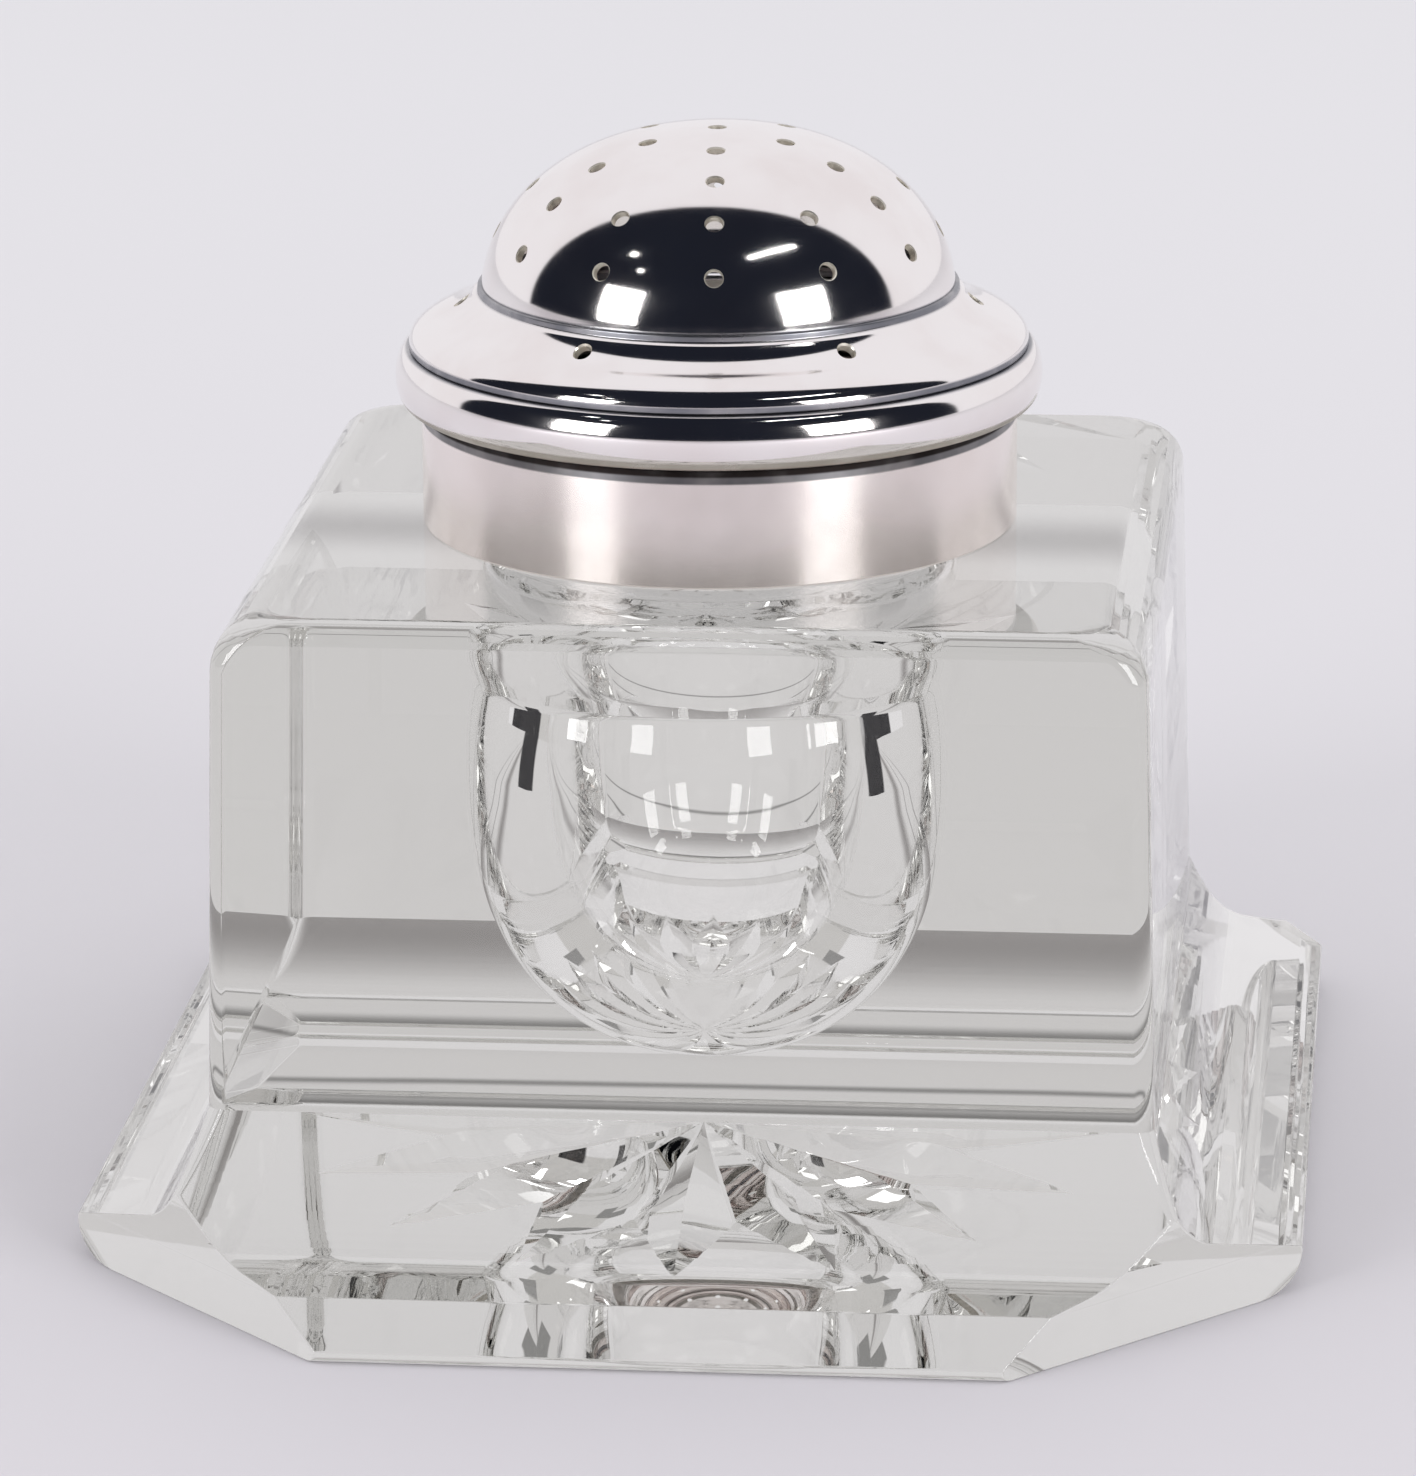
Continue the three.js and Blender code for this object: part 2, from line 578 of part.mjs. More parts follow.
// The dome's meridian from its foot to its top, drawn in by a wall thickness.
function domeMeridian(wall, steps) {
  const start = Math.asin((DOME_FOOT_Z - DOME_CENTRE_Z) / DOME_RISE);
  const points = [];
  for (let i = 0; i <= steps; i += 1) {
    const angle = start + ((Math.PI / 2 - start) * i) / steps;
    const z = DOME_CENTRE_Z + DOME_RISE * Math.sin(angle);
    const radius = i === steps ? 0 : domeRadius(z);
    const inner = (DOME_RADIUS - wall) / DOME_RADIUS;
    const drop = wall * Math.sin(angle);
    points.push([radius * inner, i === 0 ? DOME_FOOT_Z : z - drop]);
  }
  return points;
}

function lidDome() {
  const outside = domeMeridian(0, DOME_OUTER_STEPS);
  const inside = domeMeridian(DOME_WALL, DOME_INNER_STEPS).reverse();
  let dome = toSolid(turnedRing([...outside, ...inside]));
  HOLE_RING_COUNTS.forEach((count, ring) => {
    const radius = DOME_RADIUS * HOLE_RING_SHARES[ring];
    const tilt = domeTilt(radius);
    for (let i = 0; i < count; i += 1) {
      const turn = THREE.MathUtils.degToRad(HOLE_TURN + (360 * i) / count);
      dome = dome.subtract(holeDrill(radius, domeHeight(radius), tilt, turn));
    }
  });
  return toGeometry(dome);
}

// How far the dome's surface leans from level at a radius, in radians.
function domeTilt(radius) {
  const step = HOLE_RADIUS / 2;
  if (radius < step) {
    return 0;
  }
  return Math.atan2(domeHeight(radius - step) - domeHeight(radius + step), step + step);
}

function named(name, geometry, material) {
  const mesh = new THREE.Mesh(geometry, material);
  mesh.name = name;
  return mesh;
}

const stand = new THREE.Group();
stand.add(
  named("glass_block", glassBlock(), GLASS),
  named("neck_plaster", neckPlaster(), PLASTER),
  named("collar_sleeve", collarSleeve(), SILVER),
  named("mouth_ring", mouthRing(), SILVER),
  named("collar_hinge_bearer", collarHingeBearer(), SILVER),
  named("hinge_knuckle_left", hingeKnuckle(-1), SILVER),
  named("hinge_knuckle_right", hingeKnuckle(1), SILVER),
  named("hinge_pin", hingePin(), DULL_SILVER),
);

const lid = new THREE.Group();
lid.add(
  named("hinge_knuckle_lid", hingeKnuckle(0), SILVER),
  named("lid_hinge_bearer", lidHingeBearer(), SILVER),
  named("lid_rim", lidRim(), SILVER),
  named("lid_bezel", lidBezel(), SILVER),
  named("lid_shoulder", lidShoulder(), SILVER),
  named("lid_dome", lidDome(), SILVER),
);

const group = new THREE.Group();
group.add(stand, lid);

export default group;
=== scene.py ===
"""A cut-glass inkwell with a silver collar and a hinged, pierced silver lid."""

import math

import bmesh
import bpy
from mathutils import Matrix, Vector


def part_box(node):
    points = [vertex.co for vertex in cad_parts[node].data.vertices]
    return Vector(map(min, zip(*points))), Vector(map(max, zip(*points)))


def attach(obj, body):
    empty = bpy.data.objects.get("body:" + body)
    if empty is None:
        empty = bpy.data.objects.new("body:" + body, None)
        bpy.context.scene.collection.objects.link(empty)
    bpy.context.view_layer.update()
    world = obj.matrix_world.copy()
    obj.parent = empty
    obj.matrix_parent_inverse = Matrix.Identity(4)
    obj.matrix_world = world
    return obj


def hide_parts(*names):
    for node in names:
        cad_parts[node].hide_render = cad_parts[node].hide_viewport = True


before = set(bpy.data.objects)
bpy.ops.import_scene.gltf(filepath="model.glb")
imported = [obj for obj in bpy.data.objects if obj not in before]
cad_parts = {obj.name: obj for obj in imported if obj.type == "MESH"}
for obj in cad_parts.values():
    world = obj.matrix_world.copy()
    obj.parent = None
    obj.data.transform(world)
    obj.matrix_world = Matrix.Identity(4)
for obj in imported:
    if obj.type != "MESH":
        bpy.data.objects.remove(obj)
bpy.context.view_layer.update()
MM = 0.001

# Sizes below are millimetres, as the glass-cutter and the silversmith would give them.
_, GLASS_HIGH = (corner / MM for corner in map(Vector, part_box("glass_block")))
SLEEVE_LOW, SLEEVE_HIGH = (corner / MM for corner in map(Vector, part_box("collar_sleeve")))
RIM_LOW, RIM_HIGH = (corner / MM for corner in map(Vector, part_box("lid_rim")))
BEZEL_LOW, BEZEL_HIGH = (corner / MM for corner in map(Vector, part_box("lid_bezel")))
_, SHOULDER_HIGH = (corner / MM for corner in map(Vector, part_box("lid_shoulder")))
MOUTH_LOW, MOUTH_HIGH = (corner / MM for corner in map(Vector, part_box("mouth_ring")))
PIN_LOW, PIN_HIGH = (corner / MM for corner in map(Vector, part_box("hinge_pin")))

# Camera, as found from the corners and rings of the object in its picture.
PICTURE_TALL = 1476
FOCAL_PIXELS = 7487.5
SENSOR = 36
CAMERA_AZIMUTH = 5.75
CAMERA_ELEVATION = 16.41
CAMERA_ROLL = -0.44
CAMERA_DISTANCE = 599.1
TARGET_ACROSS = -1.1
TARGET_HEIGHT = 33.8
CLIP_START = 10

# Glass: the plate, the block and the hollow cove between them.
BASE_HALF_WIDTH = GLASS_HIGH.x
BASE_HALF_DEPTH = GLASS_HIGH.y
BLOCK_TOP_Z = SLEEVE_LOW.z
BLOCK_FOOT_HALF = 36.3
BLOCK_TOP_HALF = 35.5
FRONT_CANT = 21.7
BACK_CANT = 9.5
SIDE_FOOT_ROUNDING = 3
END_FOOT_ROUNDING = 0.6
END_EDGE_BEVEL_OUT = 3.4
END_EDGE_HEIGHT = 0.9
SIDE_TOP_ROUNDING = 4
END_TOP_ROUNDING = 2
COVE_TOP_Z = 14
SIDE_COVE_WIDTH = 4.5
SIDE_COVE_FOOT_Z = 5.9
SIDE_COVE_BEND_SHARE = 0.44
SIDE_SLOPE = 0.36
END_COVE_WIDTH = 10.5
END_COVE_FOOT_Z = 4.6
END_COVE_BEND_SHARE = 0.63
END_SLOPE = 0.22
EDGE_ROUNDING = 0.35
CORNER_ROUNDING = 1.5
TOP_CORNER_ROUNDING = 3.2

# Glass: neck, mouth, throat and well.
NECK_RADIUS = 22
NECK_TOP_Z = GLASS_HIGH.z
NECK_EDGE_ROUNDING = 0.5
MOUTH_RADIUS = 19.4
MOUTH_Z = 48.5
THROAT_RADIUS = 18.2
THROAT_Z = 42
THROAT_ROUNDING = 1.5
WELL_RADIUS = 18.9
WELL_WALL_TOP_Z = 35.5
WELL_FLOOR_Z = 11.7
WELL_FLOOR_RISE = 23
WELL_FLOOR_FULLNESS = 2.3

# Star cut in the underside.
STAR_RAYS = 16
STAR_FORWARD = 7.5
STAR_RADIUS = 32
STAR_WIDE_RADIUS = 20
STAR_DEPTH = 2.4
STAR_CENTRE_DEPTH = 0.15

# Silver collar and the flat ring in its mouth.
COLLAR_RADIUS = SLEEVE_HIGH.x
COLLAR_BORE = 22.9
COLLAR_TOP_Z = SLEEVE_HIGH.z
MOUTH_RING_BORE = 18.9
SHEET_EDGE_ROUNDING = 0.15

# Hinge.
HINGE_Y = (PIN_LOW.y + PIN_HIGH.y) / 2
HINGE_Z = (PIN_LOW.z + PIN_HIGH.z) / 2
KNUCKLE_RADIUS = 1.6
KNUCKLE_BORE = 0.75
PIN_RADIUS = 0.68
PIN_HEAD_LENGTH = 0.4
PIN_HEAD_ARC = 80

# Lid: rim and bezel.
RIM_RADIUS = RIM_HIGH.x
RIM_BORE = 22
RIM_FOOT_Z = RIM_LOW.z
RIM_TOP_Z = RIM_HIGH.z
RIM_WIDEST_UP = 2
RIM_FOOT_INSET = 1
RIDGE_INSET = 1.1
NOTCH_HALF = 7.7
NOTCH_FRONT = 23
NOTCH_OVERRUN = 1
BEZEL_WALL = 0.6

# Lid: shoulder.
RIDGE_RADIUS = RIM_RADIUS - RIDGE_INSET
RIDGE_BAND_HEIGHT = 0.55
OGEE_HEIGHT = 3.6
OGEE_BEND_SHARES = [(0.02, 0.29), (0.475, 0.514), (0.832, 0.68)]
SHOULDER_WALL = 0.7
BAND_STEP = 0.2
BAND_RADIUS = 18.95
BAND_BORE = 17.9
DOME_FOOT_Z = SHOULDER_HIGH.z
SHOULDER_HOLES = 6
SHOULDER_HOLE_SHARE = 0.6
SHOULDER_HOLE_TURN = 34.5

# Lid: dome.
DOME_RADIUS = 18.69
DOME_RISE = 13.25
DOME_FULLNESS = 2.258
DOME_SPRING_DROP = 0.99
DOME_CENTRE_Z = DOME_FOOT_Z - DOME_SPRING_DROP
DOME_WALL = 0.6
HOLE_RADIUS = 0.68
HOLE_FLARE = 0.12
HOLE_LIP_PARTS = 3
DRILL_REACH = 1.6
HOLE_TURN = 4.5
HOLE_RING_SHARES = [0, 0.332, 0.5725, 0.776, 0.931]
HOLE_RING_COUNTS = [1, 6, 6, 12, 12]

# Fineness of the meshes.
RING_STEPS = 192
CURVE_STEPS = 16
ARC_STEPS = 8
CORNER_STEPS = 4
HOLE_STEPS = 28
KNUCKLE_STEPS = 64
PIN_STEPS = 48
OGEE_STEPS = 100
BEVEL_STEPS = 3
SHARP_ANGLE = 24
NORMAL_WEIGHT = 90
JOIN_REACH = 1e-5
STRAIGHT_DROP = 1e-9
LEVEL_DIGITS = 5
CORNER_LEG_PARTS = 2.2
SLOPE_STEP = 0.05
DOME_EDGE_MARGIN = 0.1
ON_DOME_SHARE = 0.02


def colour(red, green, blue):
    return (red, green, blue, 1.0)


# Glass and its surface. Noise scales and bump heights here and below are for metres.
GLASS_INDEX = 1.505
GLASS_CLEAR = colour(1, 1, 1)
GLASS_TINT = colour(0.5, 0.5, 0.47)
GLASS_TINT_DENSITY = 4.0
WAVE_SCALE = 45.0
WAVE_STRENGTH = 0.02
WAVE_HEIGHT = 0.0003
RUB_STRETCH = (900, 130, 500)
RUB_STRENGTH = 0.0015
RUB_HEIGHT = 0.0001

# Silver: its tints, bloom, rub marks, and the wear that breaks up both its oxide bands and its painted shade
# bands.
BRIGHT_SILVER = (colour(0.95, 0.915, 0.905), colour(0.9, 0.845, 0.83))
WARM_SILVER = (colour(0.95, 0.88, 0.85), colour(0.90, 0.825, 0.79))
DULL_SILVER = (colour(0.86, 0.82, 0.74), colour(0.66, 0.61, 0.52))
POLISHED_ROUGHNESS = 0.07
BRUSHED_ROUGHNESS = 0.22
BRUSHED_ANISOTROPY = 0.85
BRUSHED_ROTATION = 0.25
DULL_METALLIC = 0.85
BLOOM_SCALE = 140.0
BLOOM_RANGE = (0.35, 0.75)
SMEAR_SCALE = 420.0
SMEAR_RANGE = (0.3, 0.8)
SMEAR_ROUGHNESS = 0.03
STREAK_STRETCH = (6, 4200, 4200)
STREAK_TURN_SHARE = 0.6
STREAK_STRENGTH = 0.03
STREAK_HEIGHT = 0.00002
WEAR_AND_SHADE_SCALE = 260.0
WEAR_AND_SHADE_RANGE = (0.25, 0.6)
WEAR_AND_SHADE_LEAST = 0.75
DULL_SCALE = 500.0
DULL_ROUGHNESS_SCALE = 900.0
DULL_NOISE_RANGE = (0.3, 0.7)
DULL_ROUGHNESS = (0.3, 0.5)

# Silver: dark bands, in millimetres: oxide in the grooves, and painted shade under the rim, on the collar's
# top and in the gap between them.
GROOVE_GREY = colour(0.24, 0.245, 0.27)
# Painted shade: the rim's shadow and its dark mirrored underside on the collar's top.
SHADE_GREY = colour(0.24, 0.235, 0.245)
# Painted shade on the rim's underside, just above its foot.
SHADE_KHAKI = colour(0.52, 0.48, 0.43)
# Painted shade: black on both sides of the gap between the rim's foot and the collar's top.
GAP_SHADE_BLACK = colour(0.05, 0.04, 0.038)
BAND_ROUGHNESS = 0.25
BAND_BLUR = 0.1
BAND_OVERRUN = 0.1
RIM_SHADE_HEIGHT = 0.7
RIM_GAP_SHADE_HEIGHT = 0.1
COLLAR_SHADE_DEPTH = 1.05
COLLAR_GAP_SHADE_DEPTH = 0.5

# Plaster.
PLASTER_TINTS = (colour(0.83, 0.8, 0.73), colour(0.7, 0.65, 0.56))
PLASTER_ROUGHNESS = 0.9
GRAIN_SCALE = 1800.0
GRAIN_RANGE = (0.35, 0.7)
GRAIN_STRENGTH = 0.4
GRAIN_HEIGHT = 0.0001


# Camera

def add_camera():
    """A long lens at the picture's height and turn."""
    azimuth, elevation, roll = (math.radians(a) for a in (CAMERA_AZIMUTH, CAMERA_ELEVATION, CAMERA_ROLL))
    back = Vector((
        math.sin(azimuth) * math.cos(elevation),
        -math.cos(azimuth) * math.cos(elevation),
        math.sin(elevation),
    ))
    target = Vector((TARGET_ACROSS * math.cos(azimuth), TARGET_ACROSS * math.sin(azimuth), TARGET_HEIGHT))
    right = (-back).cross(Vector((0, 0, 1))).normalized()
    up = right.cross(-back)
    rolled_right = right * math.cos(roll) + up * math.sin(roll)
    rolled_up = up * math.cos(roll) - right * math.sin(roll)
    turn = Matrix((rolled_right, rolled_up, back)).transposed().to_4x4()
    data = bpy.data.cameras.new("camera")
    data.sensor_width = SENSOR
    data.lens = FOCAL_PIXELS * SENSOR / PICTURE_TALL
    data.clip_start = CLIP_START * MM
    camera = bpy.data.objects.new("camera", data)
    camera.matrix_world = Matrix.Translation((target + back * CAMERA_DISTANCE) * MM) @ turn
    bpy.context.scene.collection.objects.link(camera)
    bpy.context.scene.camera = camera


add_camera()


# Outlines

def arc_points(centre, radii, start, end, steps=ARC_STEPS):
    """Points of an elliptical arc between two angles in degrees."""
    points = []
    for i in range(steps + 1):
        angle = math.radians(start + (end - start) * i / steps)
        points.append((centre[0] + radii[0] * math.cos(angle), centre[1] + radii[1] * math.sin(angle)))
    return points


def bezier_points(a, bend, b, steps=CURVE_STEPS):
    """Points of a quadratic curve."""
    points = []
    for i in range(steps + 1):
        t = i / steps
        points.append(tuple(
            (1 - t) ** 2 * a[k] + 2 * t * (1 - t) * bend[k] + t * t * b[k] for k in range(2)
        ))
    return points


def rounded(points, radius, closed=True, steps=CORNER_STEPS):
    """The outline with every corner that turns sharply replaced by an arc."""
    result = []
    count = len(points)
    for i, point in enumerate(points):
        if not closed and i in (0, count - 1):
            result.append(point)
            continue
        corner = Vector(point)
        before = Vector(points[i - 1]) - corner
        after = Vector(points[(i + 1) % count]) - corner
        half = before.angle(after) / 2
        if math.pi - 2 * half < math.radians(SHARP_ANGLE):
            result.append(point)
            continue
        reach = min(
            radius / math.tan(half), before.length / CORNER_LEG_PARTS, after.length / CORNER_LEG_PARTS)
        start = corner + before.normalized() * reach
        end = corner + after.normalized() * reach
        result += corner_arc(start, corner, end, steps)
    return result


def corner_arc(start, corner, end, steps):
    """A circular arc that leaves start towards corner and arrives at end."""
    middle = (start + end) / 2
    chord = (end - start).length / 2
    drop = (corner - middle).length
    if drop < STRAIGHT_DROP:
        return [tuple(start), tuple(end)]
    centre = middle + (middle - corner) * (chord / drop) ** 2
    radius = (start - centre).length
    first = math.atan2(start.y - centre.y, start.x - centre.x)
    last = math.atan2(end.y - centre.y, end.x - centre.x)
    sweep = (last - first + math.pi) % math.tau - math.pi
    return [
        (centre.x + radius * math.cos(first + sweep * i / steps),
         centre.y + radius * math.sin(first + sweep * i / steps))
        for i in range(steps + 1)
    ]


def curved_points(start, end, steps=CURVE_STEPS):
    """A curve that leaves one (radius, height) point upright and reaches the other at a slant."""
    points = []
    for i in range(steps + 1):
        t = i / steps
        points.append((start[0] + (end[0] - start[0]) * t * t, start[1] + (end[1] - start[1]) * t))
    return points


def interpolate(outline, z):
    """Distance out of an outline at a height, the outline's heights never falling."""
    for (x0, z0), (x1, z1) in zip(outline[:-1], outline[1:]):
        if z0 <= z <= z1 and z1 > z0:
            return x0 + (x1 - x0) * (z - z0) / (z1 - z0)
    return outline[-1][0] if z > outline[-1][1] else outline[0][0]


# Meshes

def finished_mesh(name, bm):
    """A smooth-shaded mesh in metres from a bmesh in millimetres, with its hard edges marked."""
    bmesh.ops.remove_doubles(bm, verts=bm.verts, dist=JOIN_REACH)
    bmesh.ops.recalc_face_normals(bm, faces=bm.faces)
    bmesh.ops.scale(bm, vec=(MM, MM, MM), verts=bm.verts)
    mesh = bpy.data.meshes.new(name)
    bm.to_mesh(mesh)
    bm.free()
    mesh.shade_smooth()
    mesh.set_sharp_from_angle(angle=math.radians(SHARP_ANGLE))
    return mesh


def join_rings(bm, lower, upper):
    """Quads between two rings of as many vertices."""
    count = len(lower)
    for i in range(count):
        j = (i + 1) % count
        bm.faces.new((lower[i], lower[j], upper[j], upper[i]))


def fan(bm, ring, centre):
    for i, vertex in enumerate(ring):
        bm.faces.new((vertex, ring[(i + 1) % len(ring)], centre))


def circle(bm, radius, z, steps=RING_STEPS):
    return [
        bm.verts.new((radius * math.cos(math.tau * i / steps), radius * math.sin(math.tau * i / steps), z))
        for i in range(steps)
    ]


def fill_between(bm, *rings):
    """Triangles in a flat region between closed rings."""
    edges = []
    for ring in rings:
        ring = [vertex for i, vertex in enumerate(ring) if (vertex.co - ring[i - 1].co).length > JOIN_REACH]
        for i, vertex in enumerate(ring):
            pair = (vertex, ring[(i + 1) % len(ring)])
            edges.append(bm.edges.get(pair) or bm.edges.new(pair))
    bmesh.ops.triangle_fill(bm, use_beauty=True, edges=edges)


def turn_profile(bm, profile, steps=RING_STEPS):
    """Rings of a closed (radius, height) profile round Z."""
    rings = [circle(bm, radius, z, steps) for radius, z in profile]
    for lower, upper in zip(rings, rings[1:] + rings[:1]):
        join_rings(bm, lower, upper)


def ring_mesh(name, profile, rounding, steps=RING_STEPS):
    bm = bmesh.new()
    turn_profile(bm, rounded(profile, rounding), steps)
    return finished_mesh(name, bm)


def add_piece(name, mesh, materials, body, nodes):
    """A piece that stands for CAD nodes and rides on their body."""
    piece = bpy.data.objects.new(name, mesh)
    bpy.context.scene.collection.objects.link(piece)
    for material in materials:
        mesh.materials.append(material)
    modifier = piece.modifiers.new("even_normals", "WEIGHTED_NORMAL")
    modifier.keep_sharp = True
    modifier.weight = NORMAL_WEIGHT
    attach(piece, body)
    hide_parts(*nodes)
    return piece


# Glass

def cove_points(width, foot_z, bend_share, slope):
    """The cove's curve from the flange, which it leaves without a crease, up to the block's foot."""
    bend = width * bend_share
    curve = bezier_points((width, foot_z), (bend, foot_z + (width - bend) * slope), (0, COVE_TOP_Z))
    return [(BLOCK_FOOT_HALF + out, z) for out, z in curve]


def side_outline():
    """Distance out and height along the glass's left or right side."""
    foot = SIDE_FOOT_ROUNDING
    top = SIDE_TOP_ROUNDING
    cove = cove_points(SIDE_COVE_WIDTH, SIDE_COVE_FOOT_Z, SIDE_COVE_BEND_SHARE, SIDE_SLOPE)
    flat = BASE_HALF_WIDTH - BLOCK_FOOT_HALF - SIDE_COVE_WIDTH
    edge = rounded(
        [(BASE_HALF_WIDTH, foot), (BASE_HALF_WIDTH, SIDE_COVE_FOOT_Z - flat * SIDE_SLOPE), cove[0]],
        EDGE_ROUNDING, closed=False,
    )
    return (
        arc_points((BASE_HALF_WIDTH - foot, foot), (foot, foot), -90, 0) + edge[1:-1] + cove
        + arc_points((BLOCK_TOP_HALF - top, BLOCK_TOP_Z - top), (top, top), 0, 90)
    )


def end_outline():
    """Distance out and height along the glass's front or back."""
    foot = END_FOOT_ROUNDING
    top = END_TOP_ROUNDING
    cove = cove_points(END_COVE_WIDTH, END_COVE_FOOT_Z, END_COVE_BEND_SHARE, END_SLOPE)
    flat = BASE_HALF_DEPTH - BLOCK_FOOT_HALF - END_COVE_WIDTH - END_EDGE_BEVEL_OUT
    edge = rounded(
        [
            (BASE_HALF_DEPTH, foot),
            (BASE_HALF_DEPTH, END_EDGE_HEIGHT),
            (BASE_HALF_DEPTH - END_EDGE_BEVEL_OUT, END_COVE_FOOT_Z - flat * END_SLOPE),
            cove[0],
        ],
        EDGE_ROUNDING, closed=False,
    )
    return (
        arc_points((BASE_HALF_DEPTH - foot, foot), (foot, foot), -90, 0) + edge[1:-1] + cove
        + arc_points((BLOCK_TOP_HALF - top, BLOCK_TOP_Z - top), (top, top), 0, 90)
    )


def corner_rounding(z):
    """Rounding of the upright corners: crisp on the plate, soft on the block, softest at its top."""
    levels = [
        (EDGE_ROUNDING, 0), (EDGE_ROUNDING, SIDE_COVE_FOOT_Z), (CORNER_ROUNDING, COVE_TOP_Z),
        (CORNER_ROUNDING, BLOCK_TOP_Z - SIDE_TOP_ROUNDING), (TOP_CORNER_ROUNDING, BLOCK_TOP_Z),
    ]
    return interpolate(levels, z)


def section_corner(across, deep, cant, rounding):
    """The first-quadrant corner of a level section, from its +X side round to its +Y side."""
    leg = max(0, cant - rounding * (2 - math.sqrt(2)))
    first = (across - rounding, deep - rounding - leg)
    second = (across - rounding - leg, deep - rounding)
    radii = (rounding, rounding)
    return (
        arc_points(first, radii, 0, 45, CORNER_STEPS) + arc_points(second, radii, 45, 90, CORNER_STEPS)
    )


def section(across, deep, z):
    """The outline of the glass at one level, counter-clockwise."""
    reach = BASE_HALF_WIDTH + BASE_HALF_DEPTH
    rounding = corner_rounding(z)
    back = section_corner(across, deep, across + deep - (reach - BACK_CANT), rounding)
    front = section_corner(across, deep, across + deep - (reach - FRONT_CANT), rounding)
    return (
        back
        + [(-x, y) for x, y in reversed(back)]
        + [(-x, -y) for x, y in front]
        + [(x, -y) for x, y in reversed(front)]
    )


def well_profile():
    """From the foot of the neck's outside, over the mouth and down to the middle of the well's floor."""
    lip = rounded(
        [(NECK_RADIUS, BLOCK_TOP_Z), (NECK_RADIUS, NECK_TOP_Z), (MOUTH_RADIUS, NECK_TOP_Z),
         (MOUTH_RADIUS, MOUTH_Z)],
        NECK_EDGE_ROUNDING, closed=False,
    )
    throat = (THROAT_RADIUS, THROAT_Z)
    flare = curved_points((MOUTH_RADIUS, MOUTH_Z), throat)[1:-1]
    waist = curved_points((WELL_RADIUS, WELL_WALL_TOP_Z), throat)[-2::-1]
    above = flare[-3]
    below = waist[2]
    crease = rounded([above, throat, below], THROAT_ROUNDING, closed=False)
    floor = []
    steps = 3 * CURVE_STEPS
    for i in range(1, steps):
        angle = math.pi / 2 * i / steps
        across = math.cos(angle) ** (2 / WELL_FLOOR_FULLNESS)
        down = math.sin(angle) ** (2 / WELL_FLOOR_FULLNESS)
        floor.append((WELL_RADIUS * across, WELL_FLOOR_Z + WELL_FLOOR_RISE * (1 - down)))
    top = (WELL_RADIUS, WELL_FLOOR_Z + WELL_FLOOR_RISE)
    return lip + flare[:-2] + crease[1:-1] + waist[3:] + [top] + floor


def cut_star(bm):
    """The star's grooves, and the ring of vertices where they meet the flat underside."""
    middle = Vector((0, -STAR_FORWARD, 0))
    centre = bm.verts.new(middle + Vector((0, 0, STAR_CENTRE_DEPTH)))
    half_turn = math.pi / STAR_RAYS
    ridge_radius = STAR_WIDE_RADIUS / math.cos(half_turn)
    outline = []
    ridges = []
    for i in range(STAR_RAYS):
        turn = math.tau * i / STAR_RAYS - math.pi / 2
        ridges.append(bm.verts.new(middle + Vector(
            (ridge_radius * math.cos(turn - half_turn), ridge_radius * math.sin(turn - half_turn), 0))))
    for i in range(STAR_RAYS):
        turn = math.tau * i / STAR_RAYS - math.pi / 2
        deep = bm.verts.new(middle + Vector(
            (STAR_WIDE_RADIUS * math.cos(turn), STAR_WIDE_RADIUS * math.sin(turn), STAR_DEPTH)))
        tip = bm.verts.new(middle + Vector((STAR_RADIUS * math.cos(turn), STAR_RADIUS * math.sin(turn), 0)))
        left, right = ridges[i], ridges[(i + 1) % STAR_RAYS]
        for face in ((centre, left, deep), (centre, deep, right), (left, tip, deep), (tip, right, deep)):
            bm.faces.new(face)
        outline += [left, tip]
    return outline


def crystal_mesh():
    bm = bmesh.new()
    sides, ends = side_outline(), end_outline()
    levels = sorted({round(z, LEVEL_DIGITS) for _, z in sides + ends})
    rings = []
    for z in levels:
        points = section(interpolate(sides, z), interpolate(ends, z), z)
        rings.append([bm.verts.new((x, y, z)) for x, y in points])
    for lower, upper in zip(rings[:-1], rings[1:]):
        join_rings(bm, lower, upper)
    well = [circle(bm, radius, z) for radius, z in well_profile()]
    for lower, upper in zip(well[:-1], well[1:]):
        join_rings(bm, lower, upper)
    fan(bm, well[-1], bm.verts.new((0, 0, WELL_FLOOR_Z)))
    fill_between(bm, rings[-1], well[0])
    fill_between(bm, rings[0], cut_star(bm))
    return finished_mesh("crystal", bm)


# Silver

def collar_mesh():
    profile = [
        (COLLAR_BORE, BLOCK_TOP_Z), (COLLAR_RADIUS, BLOCK_TOP_Z),
        (COLLAR_RADIUS, COLLAR_TOP_Z), (COLLAR_BORE, COLLAR_TOP_Z),
    ]
    return ring_mesh("collar", profile, SHEET_EDGE_ROUNDING)


def mouth_ring_mesh():
    profile = [
        (MOUTH_RING_BORE, MOUTH_LOW.z), (MOUTH_HIGH.x, MOUTH_LOW.z),
        (MOUTH_HIGH.x, MOUTH_HIGH.z), (MOUTH_RING_BORE, MOUTH_HIGH.z),
    ]
    return ring_mesh("mouth_ring", profile, SHEET_EDGE_ROUNDING)


def bezel_mesh():
    bore = BEZEL_HIGH.x - BEZEL_WALL
    profile = [
        (bore, BEZEL_LOW.z), (BEZEL_HIGH.x, BEZEL_LOW.z), (BEZEL_HIGH.x, BEZEL_HIGH.z), (bore, BEZEL_HIGH.z),
    ]
    return ring_mesh("bezel", profile, SHEET_EDGE_ROUNDING)


